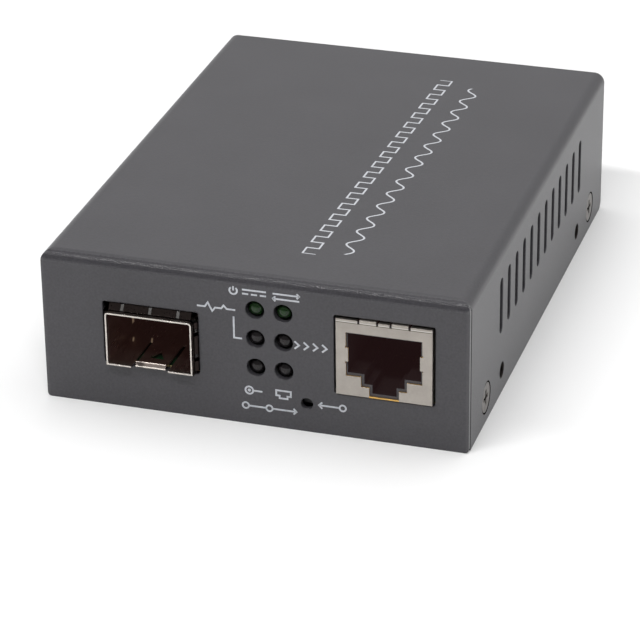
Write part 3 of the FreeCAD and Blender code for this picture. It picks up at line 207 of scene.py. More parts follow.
coat_dark = (0.033, 0.0315, 0.036)
coat_light = (0.059, 0.057, 0.064)
# Pale grey of the painted highlight along the cover's sharp edges.
coat_edge_highlight = (0.15, 0.15, 0.155)
coat_relief = 0.03 * mm
fold_softness = 0.32 * mm


def powder_coat(name, print_mask=None, bare=None, edges=None):
    """Powder coat: sandy grain in colour, gloss and relief, slow drifts of tone, and any printing.

    Tone is a mix of two greys by fine grain, by speckle and by drifts some 15 mm long; relief is
    the same grain and speckle. print_mask gives where ink lies. bare gives where steel shows, in
    the threaded holes, and the ridges of its thread. edges gives a painted highlight along sharp
    edges, painted shade in gaps, where a fold is glossier, and where speckle stands up on it.
    """
    finish = Finish(name, coat_dark, metallic=0.0, ior=1.5)
    grain = finish.noise(2600.0, 3.0)
    speckle = finish.noise(7000.0, 1.0)
    drift = finish.noise(70.0, 2.0)
    tone = grain.ramp(0.3, 0.7) * 0.55 + speckle.ramp(0.35, 0.75) * 0.25 + drift.ramp(0.3, 0.7) * 0.2
    colour = finish.mix(coat_dark, coat_light, tone)
    rough = grain.ramp(0.2, 0.8) * 0.08 + 0.31
    height = grain * 0.5 + speckle * 0.5
    if edges:
        thin, gap, fold, ridge = edges(finish)
        # Painted highlight along sharp edges; the black mix for gaps is painted shade.
        colour = finish.mix(colour, coat_edge_highlight, thin)
        rough = rough * (1 - fold * 0.5)
        height = height + speckle * ridge * 3.0
        finish.shade(gap)
    if print_mask:
        ink = print_mask(finish)
        colour = finish.mix(colour, print_grey, ink)
        rough = rough * (1 - ink) + ink * 0.5
    if bare:
        steel, thread = bare(finish)
        # Bare steel in the bracket holes, darkened to near black: partly real steel, partly painted shade
        # of the holes.
        colour = finish.mix(colour, (0.07, 0.06, 0.055), steel)
        rough = rough * (1 - steel) + steel * 0.3
        height = height * (1 - steel) + steel * thread * 2
        finish.set("Metallic", steel)
    finish.set("Base Color", colour)
    finish.set("Roughness", rough)
    finish.relief(height, coat_relief, fold_softness)
    return finish


dress(powder_coat("tray_powder_coat"), "base_tray")


# ---- Standoffs and board screws --------------------------------------------------------------
# Zinc-plated steel: the hexagon standoffs are pressed through the floor, and pan-head screws
# hold the board on them.
def plated(name, colour, rough, grains=1800.0, stretch=None, edge=0.08):
    """Plated sheet or wire: metal with a fine uneven grain, tarnished a little in slow patches."""
    finish = Finish(name, colour, metallic=1.0)
    grain = finish.noise(grains, 2.0, stretch)
    patch = finish.noise(260.0, 2.0)
    dull = tuple(0.78 * part for part in colour)
    finish.set("Base Color", finish.mix(colour, dull, patch.ramp(0.35, 0.75) * 0.6 + grain * 0.2))
    finish.set("Roughness", grain * 0.16 + patch * 0.10 + (rough - 0.13))
    finish.relief(grain, 0.012 * mm, edge * mm)
    return finish


zinc = plated("zinc_plate", (0.62, 0.64, 0.66), 0.34)
dress(zinc, "board_standoffs", "board_screws")


# ---- Circuit board ---------------------------------------------------------------------------
# Glass laminate under green solder mask. Copper tracks show through it as paler lines, and the
# sawn edges show the bare laminate.
def board_finish():
    """Solder mask over tracks: tracks are rings in the cells of a square pattern.

    The rings are where three times the distance from a cell's middle is half way between two whole
    numbers. Below the module cage the mask is darkened, as painted shade. A face that points
    sideways is a cut edge, and shows woven yellowish laminate.
    """
    mask_green = (0.010, 0.075, 0.028)
    finish = Finish("solder_mask", mask_green, metallic=0.0, coat_weight=0.5, coat_roughness=0.12)
    cells = finish.node("ShaderNodeTexVoronoi", {"distance": "MANHATTAN", "feature": "F1"},
                        {"Vector": finish.place(), "Scale": 420.0})
    tracks = (cells * 3.0).calc("FRACT").within(0.42, 0.58, 0.05)
    weave = finish.noise(3000.0, 1.0)
    green = finish.mix(mask_green, (0.030, 0.150, 0.060), tracks * 0.8 + weave * 0.15)
    low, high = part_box("sfp_cage_hood")
    x, y, _ = finish.axes()
    # Painted shade: the mask is darkened below the module cage.
    cage_shade = x.within(low.x, high.x, 0.1 * mm) * y.ramp(high.y, high.y - 1.0 * mm)
    green = finish.mix(green, (0.002, 0.006, 0.003), cage_shade * 0.75)
    cut = finish.facing("Z").ramp(0.6, 0.4)
    layers = finish.noise(900.0, 2.0, (1.0, 1.0, 9.0))
    laminate = finish.mix((0.42, 0.36, 0.16), (0.62, 0.55, 0.28), layers)
    finish.set("Base Color", finish.mix(green, laminate, cut))
    finish.set("Roughness", cut * 0.35 + 0.30 + weave * 0.06)
    finish.relief(tracks * 0.7 + weave * 0.3, 0.02 * mm)
    return finish


dress(board_finish(), "circuit_board")


# ---- Parts on the board ----------------------------------------------------------------------
# Moulded epoxy packages with a fine matte skin, a drawn crystal can, sleeved capacitors and
# fired ceramic chips.
def moulding(name, colour, rough, coat=0.0, grains=2200.0):
    """Moulded plastic: one colour with faint flow clouds and a fine skin in gloss and relief."""
    finish = Finish(name, colour, metallic=0.0, coat_weight=coat, coat_roughness=0.15, ior=1.5)
    skin = finish.noise(grains, 2.0)
    flow = finish.noise(120.0, 3.0)
    pale = tuple(min(1.0, 1.5 * part + 0.004) for part in colour)
    finish.set("Base Color", finish.mix(colour, pale, flow.ramp(0.35, 0.75) * 0.5 + skin * 0.2))
    finish.set("Roughness", skin * 0.14 + flow * 0.06 + (rough - 0.1))
    finish.relief(skin, 0.015 * mm, 0.1 * mm)
    return finish


dress(moulding("chip_epoxy", (0.022, 0.022, 0.024), 0.62, grains=5200.0), "converter_chip",
      "memory_chip", "isolation_transformer", "voltage_regulator", "power_inductor")
dress(moulding("capacitor_sleeve", (0.012, 0.016, 0.055), 0.32, 0.3), "input_capacitor", "output_capacitor")
dress(moulding("chip_ceramic", (0.34, 0.24, 0.14), 0.55, grains=6000.0), "chip_passives")
dress(plated("crystal_can", (0.72, 0.72, 0.71), 0.28, 1400.0, (1.0, 1.0, 0.1)), "crystal")


# ---- Module cage -----------------------------------------------------------------------------
# Tin-plated sheet, folded into a hood and a floor with a catch tongue. Its cut edges are bright.
# A collar of nickel-plated spring fingers bears on the panel's window.
cage_low, cage_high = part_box("sfp_cage_hood")
# Painted glints inside the cage, each as middle x, y, z and half height in mm.
painted_glints = [(-23.75, -36.75, 10.1, 0.4), (-22.78, -39.5, 8.15, 0.25), (-19.78, -39.0, 8.15, 0.25)]


def tinned(name, colour, rough):
    """Tin-plated sheet: rolled lines along its length and slow cloudy patches.

    The cage's inner faces, from 0.15 mm inside its outer ones, are tinted dark brown, given a faint
    painted glow and pressed with shallow dimples. The front of the tongue's ramp is darkened, a painted
    dark reflection. In three places, given by middle and half height in mm, brighter glow paints glints.
    """
    finish = Finish(name, colour, metallic=1.0, emission_strength=1.0)
    rolled = finish.noise(2400.0, 2.0, (1.0, 0.06, 1.0))
    cloud = finish.noise(330.0, 3.0)
    dull = tuple(0.72 * part for part in colour)
    x, y, z = finish.axes()
    half = (cage_high.x - cage_low.x) / 2
    across = (x - (cage_low.x + half)).size()
    inner = (across.ramp(half - 0.1 * mm, half - 0.2 * mm)
             * z.ramp(cage_high.z - 0.1 * mm, cage_high.z - 0.2 * mm)
             * y.ramp(cage_low.y + 0.1 * mm, cage_low.y + 1.6 * mm))
    ramp = (across.ramp(2.6 * mm, 2.5 * mm) * z.within(8.22 * mm, 8.62 * mm, 0.02 * mm)
            * y.within(cage_low.y + 0.3 * mm, cage_low.y + 1.0 * mm, 0.02 * mm))
    glint_mask = 0.0
    for middle_x, middle_y, middle_z, tall in painted_glints:
        lean = x + (y - middle_y * mm) * 0.3
        glint_mask = glint_mask + (lean.within((middle_x - 0.06) * mm, (middle_x + 0.06) * mm, 0.14 * mm)
                         * y.within((middle_y - 0.4) * mm, (middle_y + 0.4) * mm, 0.5 * mm)
                         * z.within((middle_z - tall) * mm, (middle_z + tall) * mm, 0.2 * mm))
    tin = finish.mix(colour, dull, cloud.ramp(0.35, 0.8) * 0.55 + rolled * 0.25)
    # Inner faces tinted dark brown. The emission below gives them a faint painted glow, brighter where
    # glints are painted.
    tin = finish.mix(tin, (0.30, 0.20, 0.17), inner * 0.7)
    # Painted dark reflection on the front of the tongue's ramp.
    finish.set("Base Color", finish.mix(tin, (0.07, 0.055, 0.05), ramp * 0.9))
    hollow_glow = finish.mix((0.0066, 0.0031, 0.0027), (0.12, 0.085, 0.055), glint_mask)
    finish.set("Emission Color", finish.mix((0.0, 0.0, 0.0), hollow_glow, inner))
    finish.set("Roughness", rolled * 0.14 + cloud * 0.12 + (rough - 0.13))
    cells = finish.node("ShaderNodeTexVoronoi", {}, {"Vector": finish.place(), "Scale": 210.0})
    dimples = cells.ramp(0.16, 0.02) * inner
    finish.relief(rolled * 0.6 + cloud * 0.4 + dimples * 14.0, 0.01 * mm, 0.05 * mm)
    return finish


cage_tin = tinned("cage_tin", (0.66, 0.62, 0.57), 0.30)
dress(cage_tin, "sfp_cage_hood", "sfp_cage_floor")
# The collar's steel is near black, a painted dark reflection of the dim room in front.
dress(plated("collar_steel_painted_dark", (0.034, 0.026, 0.024), 0.30, 2600.0, (1.0, 0.08, 1.0)), "sfp_spring_collar")


def collar_leaves():
    """Inner leaf of the collar, which shows as a paler strip in each slit between its fingers.

    Each strip runs from the band out towards the fingers' crest, a little below their face: three
    over the cage and two down each side. A strip is a thin slab with eight corners.
    """
    low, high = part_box("sfp_spring_collar")
    half, thick, top_pitch, side_offset = 0.27 * mm, 0.05 * mm, 4.65 * mm, 2.215 * mm
    front, rear = low.y + 0.62 * mm, low.y + 1.25 * mm
    middle_x, middle_z = (low.x + high.x) / 2, (low.z + high.z) / 2 + 0.15 * mm
    face = high.x - middle_x
    top_ends = [(front, high.z - 1.16 * mm), (rear, high.z - 0.2 * mm)]
    side_ends = [(front, face - 0.38 * mm), (rear, face - 0.1 * mm)]
    slabs = [[(middle_x + along + edge, y, up - drop)
              for drop in (0.0, thick) for y, up in top_ends for edge in (-half, half)]
             for along in (-top_pitch, 0.0, top_pitch)]
    slabs += [[(middle_x + side * (out - drop), y, middle_z + along + edge)
               for drop in (0.0, thick) for y, out in side_ends for edge in (half * side, -half * side)]
              for side in (-1, 1) for along in (-side_offset, side_offset)]
    corners = np.array(slabs).reshape(-1, 3)
    slab = np.array([(0, 1, 3, 2), (4, 6, 7, 5), (0, 4, 5, 1), (2, 3, 7, 6), (0, 2, 6, 4), (1, 5, 7, 3)])
    faces = (slab[None] + 8 * np.arange(len(slabs))[:, None, None]).reshape(-1, 4)
    mesh = bpy.data.meshes.new("collar_leaves")
    mesh.from_pydata(corners.tolist(), [], faces.tolist())
    mesh.materials.append(plated("leaf_nickel", (0.17, 0.165, 0.16), 0.34).material)
    made = bpy.data.objects.new("collar_leaves", mesh)
    bpy.context.scene.collection.objects.link(made)
    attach(made, "case")


collar_leaves()


# ---- Host socket in the cage -----------------------------------------------------------------
# Black glass-filled moulding with two rows of gilded contacts, at the far end of the cage.
black_nylon = moulding("black_nylon", (0.014, 0.0135, 0.014), 0.42)
gilt = plated("gilt_contact", (0.83, 0.58, 0.24), 0.26, 3000.0, None, 0.04)
dress(black_nylon, "sfp_host_socket")
dress(gilt, "sfp_host_contacts")


# ---- Network socket --------------------------------------------------------------------------
# The shield is nickel-plated bronze sheet, so its sawn and punched edges show golden. The black
# housing inside carries eight gilded wires that slope down into the plug's hollow.
def shield_finish():
    """Satin nickel with a duller upper strip, and golden punched edges in the front sheet.

    A punched edge is a face of that sheet that points along the panel, and so is the tie below the
    window. Under the roof springs the bend is painted dark, as shade, with a painted highlight over it.
    """
    nickel = (0.45, 0.415, 0.378)
    finish = Finish("shield_nickel", nickel, metallic=1.0)
    grain = finish.noise(2600.0, 2.0)
    cloud = finish.noise(420.0, 3.0)
    low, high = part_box("rj45_shield")
    x, y, z = finish.axes()
    sheet_front = y.ramp(low.y + 0.3 * mm, low.y + 0.26 * mm)
    window = (x.within(low.x + 1.0 * mm, high.x - 1.0 * mm, 0.1 * mm)
              * z.ramp(high.z - 1.0 * mm, high.z - 1.2 * mm))
    punched = finish.facing("Y").ramp(0.5, 0.3) * window * sheet_front
    tie = (x.within(low.x + 5.35 * mm, low.x + 10.15 * mm, 0.05 * mm)
           * z.ramp(low.z + 0.22 * mm, low.z + 0.2 * mm) * sheet_front)
    # Painted shade along the bend under the roof springs, and a painted highlight line just over it.
    bend = z.within(high.z - 0.83 * mm, high.z - 0.79 * mm, 0.06 * mm) * sheet_front
    bright = z.within(high.z - 0.72 * mm, high.z - 0.62 * mm, 0.05 * mm) * sheet_front
    upper = z.ramp(high.z - 3.2 * mm, high.z - 1.2 * mm)
    dull = cloud.ramp(0.3, 0.75) * 0.5 + grain * 0.3 + upper * 0.5
    body = finish.mix(nickel, (0.37, 0.34, 0.308), dull)
    body = finish.mix(body, (0.74, 0.72, 0.68), bright * 0.6)
    body = finish.mix(body, (0.06, 0.045, 0.035), bend * 0.9)
    finish.set("Base Color", finish.mix(body, (0.80, 0.50, 0.16), punched.either(tie)))
    finish.set("Roughness", grain * 0.12 + cloud * 0.1 + 0.36)
    finish.relief(grain * 0.5 + cloud * 0.5, 0.01 * mm, 0.06 * mm)
    return finish


dress(shield_finish(), "rj45_shield")


def socket_moulding():
    """Black moulding with a lighter front rim, a painted reflection, and a faint brownish painted glow in
    its hollow.
    """
    hollow = (0.007, 0.005, 0.005)
    finish = moulding("socket_moulding", hollow, 0.75)
    finish.set("Emission Strength", 1.0)
    finish.set("Specular IOR Level", 0.12)
    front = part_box("rj45_housing")[0].y
    rim = finish.axes()[1].ramp(front + 0.12 * mm, front + 0.02 * mm)
    # Painted reflection: the front rim is lighter than the rest of the moulding.
    finish.set("Base Color", finish.mix(hollow, (0.078, 0.074, 0.078), rim))
    # Painted glow: a faint brownish emission keeps the hollow from going black.
    finish.set("Emission Color", finish.mix((0.0120, 0.0053, 0.0055), (0.0, 0.0, 0.0), rim))
    return finish


dress(socket_moulding(), "rj45_housing", "rj45_wire_comb")
dress(gilt, "rj45_contacts")


# ---- Lamps -----------------------------------------------------------------------------------
# Six 3 mm lamps of tinted clear resin stand in two black nylon holders. Their round noses fill
# the holes in the panel, and the small reflector cup shows through the resin as a paler spot.
def revolved(name, profile, middle, axis_y, sides=48):
    """Closed surface turned about a line along Y through middle.

    profile holds (radius, distance) rows; each vertex is middle + radius times (cos, 0, sin) of its
    turn, moved by its distance along axis_y. The UV map holds the turn and the radius in mm.
    """
    profile = np.array(profile, float)
    turn = np.linspace(0.0, 2 * np.pi, sides, endpoint=False) * -axis_y
    radius, along = profile[:, :1], profile[:, 1:]
    grid = np.stack([middle[0] + radius * np.cos(turn), middle[1] + axis_y * along + 0 * turn,
                     middle[2] + radius * np.sin(turn)], axis=-1)
    rows = len(profile)
    row, column = np.meshgrid(np.arange(rows - 1), np.arange(sides), indexing="ij")
    following = (column + 1) % sides
    quads = np.stack([row * sides + column, row * sides + following,
                      (row + 1) * sides + following, (row + 1) * sides + column], axis=-1)
    mesh = bpy.data.meshes.new(name)
    ends = [list(range(sides))[::-1], list(range((rows - 1) * sides, rows * sides))]
    mesh.from_pydata(grid.reshape(-1, 3).tolist(), [], quads.reshape(-1, 4).tolist() + ends)
    corner = np.zeros(len(mesh.loops), np.int64)
    mesh.loops.foreach_get("vertex_index", corner)
    uv = np.stack([(corner % sides) / sides, profile[corner // sides, 0] / mm], axis=-1)
    mesh.uv_layers.new(name="turned").data.foreach_set("uv", uv.ravel().astype(np.float32))
    mesh.shade_smooth()
    made = bpy.data.objects.new(name, mesh)
    bpy.context.scene.collection.objects.link(made)
    return made


def lamp_resin(name, deep, pale):
    """Tinted resin: dark at the rim, with a soft pale cup of about half the radius in the middle."""
    finish = Finish(name, deep, metallic=0.0, ior=1.4)
    uv = finish.node("ShaderNodeUVMap", {"uv_map": "turned"}, {})
    radius = finish.node("ShaderNodeSeparateXYZ", {}, {0: uv}, "Y")
    cup = radius.ramp(0.75, 0.2) * (0.6 + finish.noise(1500.0) * 0.4)
    ring = radius.within(0.78, 0.92, 0.12)
    finish.set("Base Color", finish.mix(deep, pale, cup * 0.8 + ring * 0.3))
    finish.set("Roughness", finish.noise(900.0) * 0.08 + 0.16)
    return finish


lamp_radius, lamp_length, flange_radius, flange = 1.45 * mm, 5.3 * mm, 1.75 * mm, 0.9 * mm
nose_start = lamp_length - lamp_radius
nose = np.linspace(0.0, np.pi / 2, 14)[:-1]
lamp_profile = [(flange_radius - 0.1 * mm, 0.0), (flange_radius, 0.1 * mm), (flange_radius, flange),
                (lamp_radius, flange), (lamp_radius, flange + 0.1 * mm),
                *[(lamp_radius * np.cos(turn), nose_start + lamp_radius * np.sin(turn)) for turn in nose],
                (0.02 * mm, lamp_length)]
lamp_colours = {"green": lamp_resin("resin_green", (0.003, 0.014, 0.002), (0.012, 0.042, 0.009)),
                "smoke": lamp_resin("resin_smoke", (0.004, 0.003, 0.0035), (0.018, 0.014, 0.015))}
for lamp_name, tint in (("lamp_power", "green"), ("lamp_duplex", "green"), ("lamp_status", "smoke"),
                        ("lamp_speed", "smoke"), ("lamp_fibre", "smoke"), ("lamp_copper", "smoke")):
    low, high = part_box(lamp_name)
    lamp = revolved(lamp_name + "_resin", lamp_profile,
                    ((low.x + high.x) / 2, high.y, (low.z + high.z) / 2), -1)
    lamp.data.materials.append(lamp_colours[tint].material)
    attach(lamp, "case")
    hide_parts(lamp_name)
dress(moulding("holder_nylon", (0.016, 0.016, 0.016), 0.6), "lamp_holder_left", "lamp_holder_right")
dress(zinc, "lamp_leads")


# ---- Test switch -----------------------------------------------------------------------------
# A side-pressed switch under the board, soldered by its frame. Its black button stands behind the
# pin hole and bears on a springy dome of thin sheet.
dress(moulding("switch_nylon", (0.018, 0.018, 0.019), 0.5), "diag_button", "diag_switch_body")
dress(cage_tin, "diag_switch_frame")


def snap_dome():
    """Crowned disc behind the button's heel; the real one clicks flat as the button comes in, but this one
    keeps its crown.

    Its profile runs out along the hollow side, over the rim and back along the crown.
    """
    low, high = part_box("diag_switch_dome")
    radius, rise, sheet = (high.x - low.x) / 2, high.y - low.y, 0.08 * mm
    middle = ((low.x + high.x) / 2, high.y, (low.z + high.z) / 2)
    profile = [(0.02 * mm, rise - sheet), (0.35 * radius, rise - sheet), (0.8 * radius, 0.6 * rise - sheet),
               (0.92 * radius, 0.0), (radius, 0.0), (0.8 * radius, 0.6 * rise), (0.35 * radius, rise),
               (0.02 * mm, rise)]
    dome = revolved("snap_dome", profile, middle, -1, 32)
    dome.data.materials.append(cage_tin.material)
    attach(dome, "case")
    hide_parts("diag_switch_dome")
    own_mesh(dome)


snap_dome()


# ---- Power jack ------------------------------------------------------------------------------
# Black moulded jack with a nickel-plated centre pin, a sleeve spring and a switched leaf.
dress(moulding("jack_moulding", (0.018, 0.018, 0.019), 0.34, 0.2), "dc_jack_body")
dress(plated("jack_nickel", (0.74, 0.72, 0.69), 0.2, 1500.0), "dc_jack_pin", "dc_jack_spring",
      "dc_jack_switch_leaf")


# ---- Cover -----------------------------------------------------------------------------------
# Roof, front and sides are one folded sheet with the same powder coat as the tray. Two rows of
# pale printing run from front to rear on the roof: a train of pulses beside a light wave.
print_grey = (0.52, 0.535, 0.57)
cover_low, cover_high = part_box("cover")
screws_low, screws_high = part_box("cover_screws")
walls_middle = (screws_low.y + screws_high.y) / 2
screw_spread, screw_level = 36.75 * mm, 4.3 * mm
bracket_spread, bracket_level = 26.7 * mm, 4.1 * mm


def roof_print(finish):
    """Two waves, one line wide. The first is square and the second is a sine.

    Each row follows a straight line that leans a little: across is the distance from it and along
    the one down it. The square wave is a level on the side that the half of its period gives, and
    an upright at every half period. The sine is where across is near the reach times the sine of
    the turn, and the root of one plus its slope squared keeps the line's width even.
    """
    x, y, z = finish.axes()
    width, reach, soft = 0.13 * mm, 1.0 * mm, 0.05 * mm
    top = z.ramp(cover_high.z - 0.1 * mm, cover_high.z - 0.05 * mm)

    def row(front_x, front_y, rear_y, lean):
        across = x - (y - front_y) * lean - front_x
        return across, y - front_y, y.within(front_y, rear_y, soft)

    across, along, ends = row(6.15 * mm, -36.8 * mm, 36.3 * mm, 0.0385)
    half = 2.15 * mm
    beat = (along / half).calc("FRACT")
    side = (along / (2 * half)).calc("FRACT").ramp(0.4999, 0.5001) * 2 - 1
    level = (across - side * reach).size().ramp(width + soft, width)
    upright = ((beat - 0.5).size() - 0.5).size().ramp((width + soft) / half, width / half)
    upright = upright * across.size().ramp(reach + width + soft, reach + width)
    pulses = level.either(upright) * ends

    across, along, ends = row(11.75 * mm, -35.5 * mm, 34.0 * mm, 0.043)
    wave_number = 2 * np.pi / (5.0 * mm)
    turn = along * wave_number
    slope = turn.calc("COSINE") * (wave_number * reach)
    steep = (slope * slope + 1).calc("SQRT")
    wave = ((across - turn.calc("SINE") * reach).size() / steep).ramp(width + soft, width) * ends
    return pulses.either(wave) * top


def from_holes(finish, spread, level):
    """Distance along a side wall from the nearer of its two holes, spread either side of its middle.

    It is the root of (|y - middle| - spread) squared plus (z - level) squared.
    """
    _, y, z = finish.axes()
    across = (y - walls_middle).size() - spread
    up = z - level
    return (across * across + up * up).calc("SQRT")


def bracket_threads(finish):
    """Bare steel inside the bracket holes, near black as partly painted shade, and the ridges of their
    thread, a sine along X.
    """
    steel = from_holes(finish, bracket_spread, bracket_level).ramp(1.36 * mm, 1.31 * mm)
    turn = finish.axes()[0] * (2 * np.pi / (0.45 * mm))
    return steel, turn.calc("SINE") * 0.5 + 0.5


def edge_highlight_and_shade(finish):
    """Painted highlight along the front's upright edges, painted shade in gaps, and the fold along the
    front's top.

    The painted shade lies in the seam behind those edges, the ring round each screw's head and the
    mouths of the bracket holes. On the fold's ridge the speckle stands up and glitters.
    """
    x, y, z = finish.axes()
    front, top = cover_low.y, cover_high.z
    side = x.size().ramp(cover_high.x - 0.6 * mm, cover_high.x - 0.2 * mm)
    upright = side * z.ramp(top - 1.1 * mm, top - 1.5 * mm)
    # Painted highlight: the coat is paled along the front's upright edges. Seam, ring and mouth below are
    # painted shade.
    thin = y.within(front + 0.1 * mm, front + 0.4 * mm, 0.12 * mm) * upright
    seam = y.within(front + 0.86 * mm, front + 1.26 * mm, 0.04 * mm) * upright * 0.75
    ring = from_holes(finish, screw_spread, screw_level).ramp(2.78 * mm, 2.7 * mm) * side
    mouth = from_holes(finish, bracket_spread, bracket_level).ramp(1.5 * mm, 1.4 * mm) * side * 0.6
    bend = y.ramp(front + 1.15 * mm, front + 0.9 * mm)
    fold = bend * z.ramp(top - 1.7 * mm, top - 1.4 * mm)
    ridge = bend * z.within(top - 0.72 * mm, top - 0.45 * mm, 0.14 * mm)
    return thin, seam.either(ring).either(mouth), fold, ridge


dress(powder_coat("cover_powder_coat", roof_print, bracket_threads, edge_highlight_and_shade), "cover")


# ---- Cover screws ----------------------------------------------------------------------------
# Countersunk steel screws with a black oxide finish in a cloudy tone. Their heads end just below
# the cover's face.
def black_oxide():
    """Rubbed oxide: metal with cloudy tone and a fine grain, with painted shade at the rim and in the
    recess.
    """
    finish = Finish("black_oxide", (0.11, 0.10, 0.092), metallic=0.4)
    cloud = finish.noise(700.0, 3.0)
    grain = finish.noise(3600.0, 2.0)
    rim = from_holes(finish, screw_spread, screw_level).ramp(2.44 * mm, 2.5 * mm)
    face = screws_high.x
    recess = finish.axes()[0].size().ramp(face - 0.09 * mm, face - 0.23 * mm)
    finish.set("Base Color", finish.mix((0.11, 0.10, 0.092), (0.20, 0.185, 0.17), cloud.ramp(0.3, 0.7)))
    finish.set("Roughness", grain * 0.2 + 0.3)
    # Painted shade in the gap round the head and in the cross recess.
    finish.shade(rim.either(recess) * 0.9)
    finish.relief(grain, 0.015 * mm, 0.08 * mm)
    return finish


dress(black_oxide(), "cover_screws")


# ---- Printed signs ---------------------------------------------------------------------------
# Pale ink in plain line signs beside the lamps, the test hole and the power jack, screen printed
# on the coat and about as thick as a hair.
ink_height = 0.03 * mm


def line(points, width=0.28, closed=False):
    """Printed line: a flat four-sided section carried along a path, mitred at its corners.

    At each point the section's half width runs along the sum of the two neighbouring normals,
    divided by half the square of that sum's length. Gives points (across, up, 0 or 1) and faces.
    """
    path = np.array(points, float)
    count = len(path)
    before = np.roll(path, 1, 0) if closed else np.vstack([2 * path[0] - path[1], path[:-1]])
    after = np.roll(path, -1, 0) if closed else np.vstack([path[1:], 2 * path[-1] - path[-2]])

    def normal(leg):
        leg = leg / np.linalg.norm(leg, axis=1, keepdims=True)
        return np.stack([-leg[:, 1], leg[:, 0]], axis=1)

    both = normal(path - before) + normal(after - path)
    offset = both * width / (both ** 2).sum(1, keepdims=True)
    rim = np.stack([path + offset, path - offset], axis=1)
    corners = np.concatenate([np.insert(rim, 2, up, axis=2) for up in (0.0, 1.0)], axis=1)
    runs = np.arange(count if closed else count - 1)
    section = np.array([0, 1, 3, 2])
    here = runs[:, None] * 4 + section
    there = ((runs + 1) % count)[:, None] * 4 + section
    faces = np.stack([here, np.roll(here, -1, 1), np.roll(there, -1, 1), there], axis=-1).reshape(-1, 4)
    if not closed:
        last = (count - 1) * 4
        faces = np.vstack([faces, [0, 2, 3, 1], [last, last + 1, last + 3, last + 2]])
    return corners.reshape(-1, 3), faces


def arc(middle, radius, start=0.0, end=360.0, steps=28):
    """Points on a circle about middle, from one angle to another in degrees."""
    turn = np.radians(np.linspace(start, end, steps, endpoint=end - start < 360.0))
    return np.stack([middle[0] + radius * np.cos(turn), middle[1] + radius * np.sin(turn)], axis=1)


def printed(name, lines, panel_y, outward):
    """One mesh of printed lines on a panel at panel_y, raised by the ink's height along outward."""
    first = np.cumsum([0] + [len(part) for part, _ in lines])
    flat = np.vstack([part for part, _ in lines])
    faces = np.vstack([quads + start for (_, quads), start in zip(lines, first)])
    raised = panel_y + outward * flat[:, 2] * ink_height
    place = np.stack([flat[:, 0] * mm, raised, flat[:, 1] * mm], axis=1)
    mesh = bpy.data.meshes.new(name)
    mesh.from_pydata(place.tolist(), [], (faces[:, ::-1] if outward > 0 else faces).tolist())
    made = bpy.data.objects.new(name, mesh)
    bpy.context.scene.collection.objects.link(made)
    ink = Finish(name + "_ink", print_grey, metallic=0.0)
    patchy = ink.noise(1800.0, 2.0)
    ink.set("Base Color", ink.mix(print_grey, (0.36, 0.375, 0.41), patchy.ramp(0.45, 0.85)))
    ink.set("Roughness", patchy * 0.1 + 0.45)
    ink.relief(patchy, 0.01 * mm)
    made.data.materials.append(ink.material)
    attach(made, "case")
    return made


def arrow(tail, head, barb=0.55):
    """A shaft from tail to head and the two barbs at its head, all level."""
    back = head[0] + np.sign(tail[0] - head[0]) * barb
    return [line([tail, head]), line([(back, head[1] + barb), head, (back, head[1] - barb)])]


def ring(middle, radius, width=0.28, steps=28):
    """A whole circle of printed line."""
    return line(arc(middle, radius, steps=steps), width, True)


front_signs = [
    line(arc((-2.95, 23.25), 0.62, 130.0, 410.0)), line([(-2.95, 23.25), (-2.95, 24.0)]),
    line([(-1.5, 23.62), (2.4, 23.62)]),
    *[line([(start, 22.92), (start + 1.0, 22.92)]) for start in (-1.5, -0.05, 1.4)],
    *arrow((3.5, 23.58), (7.8, 23.58), 0.42), *arrow((7.8, 22.72), (3.5, 22.72), 0.42),
    line([(-9.0, 19.85), (-7.7, 19.85), (-7.2, 20.6), (-6.5, 19.2), (-6.0, 19.85), (-5.0, 19.85),
          (-4.6, 20.4), (-4.1, 19.85), (-2.7, 19.85)]),
    line([(-3.0, 18.7), (-3.0, 15.0), (-1.7, 15.0)]),
    *[line([(start, 15.75), (start + 0.75, 15.1), (start, 14.45)]) for start in (6.9, 8.4, 9.9, 11.4)],
    ring((-0.7, 6.0), 0.64), ring((-0.7, 6.0), 0.14, 0.24, 10),
    line([(-0.05, 6.0), (1.45, 6.0)]),
    line([(3.75, 6.65), (6.15, 6.65), (6.15, 5.75), (5.6, 5.75), (5.6, 5.3), (4.3, 5.3), (4.3, 5.75),
          (3.75, 5.75)], closed=True),
    ring((-1.35, 3.22), 0.52), line([(-0.83, 3.22), (2.05, 3.22)]),
    ring((2.57, 3.22), 0.52), *arrow((3.1, 3.22), (7.05, 3.22), 0.5),
    *arrow((14.1, 5.0), (10.75, 5.0), 0.55), ring((14.65, 5.0), 0.52),
]
printed("front_signs", front_signs, cover_low.y, -1)

# Power sign over the jack, and the usual polarity sign below it: the centre pin is positive.
minus_x, ring_x, plus_x, sign_z = 27.54, 22.66, 17.54, 3.4
rear_signs = [
    line([(19.3, 21.95), (26.4, 21.95)], 0.36),
    *[line([(start, 20.8), (start + 1.9, 20.8)], 0.36) for start in (19.3, 21.9, 24.5)],
    ring((minus_x, sign_z), 1.56, 0.26), line([(minus_x - 0.8, sign_z), (minus_x + 0.8, sign_z)]),
    ring((plus_x, sign_z), 1.56, 0.26), line([(plus_x - 0.8, sign_z), (plus_x + 0.8, sign_z)]),
    line([(plus_x, sign_z - 0.8), (plus_x, sign_z + 0.8)]),
    line(arc((ring_x, sign_z), 1.5, -140.0, 140.0), 0.34), ring((ring_x, sign_z), 0.3, 0.5, 12),
    line([(minus_x - 1.6, sign_z), (ring_x + 1.6, sign_z)]),
    line([(ring_x - 0.2, sign_z), (plus_x + 1.6, sign_z)]),
]
printed("rear_signs", rear_signs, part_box("base_tray")[1].y, 1)


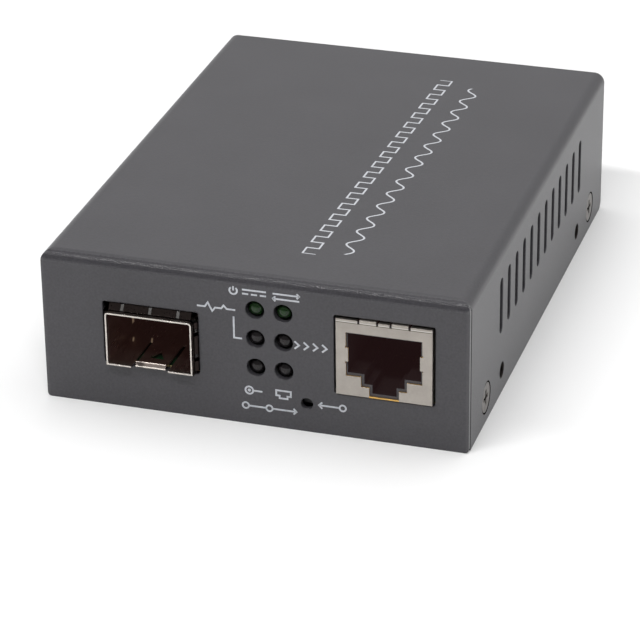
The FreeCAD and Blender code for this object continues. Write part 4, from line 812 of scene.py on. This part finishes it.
# ---- Table, light and camera -----------------------------------------------------------------
# The case lies on a plain white table, under a wide soft lamp. A long narrow lamp in front draws
# the bright line along the front fold, and a pale backdrop behind lights the roof and the walls.
table_reach, table_z = 3.0, solid_box[0][2] - 0.02 * mm
table_mesh = bpy.data.meshes.new("table_top")
table_corners = [(-table_reach, -table_reach, table_z), (table_reach, -table_reach, table_z),
                 (table_reach, table_reach, table_z), (-table_reach, table_reach, table_z)]
table_mesh.from_pydata(table_corners, [], [(0, 1, 2, 3)])
table = bpy.data.objects.new("table_top", table_mesh)
bpy.context.scene.collection.objects.link(table)
table_white = Finish("table_white", (0.90, 0.90, 0.90), metallic=0.0, specular_ior_level=0.1)
table_white.set("Roughness", table_white.noise(8.0) * 0.1 + 0.8)
table_mesh.materials.append(table_white.material)

# The room is dim in front and overhead, and bright behind up to about 57 degrees above the table.
bpy.context.scene.world = bpy.data.worlds.new("room")
room = Finish("room", owner=bpy.context.scene.world)
view = room.node("ShaderNodeTexCoord", {}, {}, "Generated")
behind, above = [room.node("ShaderNodeSeparateXYZ", {}, {0: view}, axis) for axis in "YZ"]
backdrop = behind.ramp(-0.25, 0.15) * above.ramp(0.98, 0.84)
room.set("Color", (1.0, 1.0, 1.0))
room.set("Strength", backdrop * 0.53 + 0.21)


def soft_light(name, place, length, depth, power):
    """Rectangular lamp at place, length by depth across, that points at the case's foot."""
    data = bpy.data.lights.new(name, "AREA")
    data.shape = "RECTANGLE"
    data.size = length
    data.size_y = depth
    data.energy = power
    made = bpy.data.objects.new(name, data)
    made.location = place
    made.rotation_euler = (-Vector(place)).to_track_quat("-Z", "Y").to_euler()
    bpy.context.scene.collection.objects.link(made)


soft_light("overhead_light", (0.15, 0.3, 1.2), 1.0, 1.0, 5.0)
soft_light("front_strip", (-0.1, -0.57, 0.92), 1.0, 0.03, 8.5)

camera_data = bpy.data.cameras.new("camera")
camera_data.lens = 176.851
camera_data.sensor_width = 36.0
camera_data.clip_start = 0.01
camera = bpy.data.objects.new("camera", camera_data)
camera.location = (0.140485, -0.459294, 0.241612)
camera.rotation_euler = (1.0969616, 0.0117641, 0.2980293)
bpy.context.scene.collection.objects.link(camera)
bpy.context.scene.camera = camera
bpy.context.scene.view_settings.view_transform = "Standard"
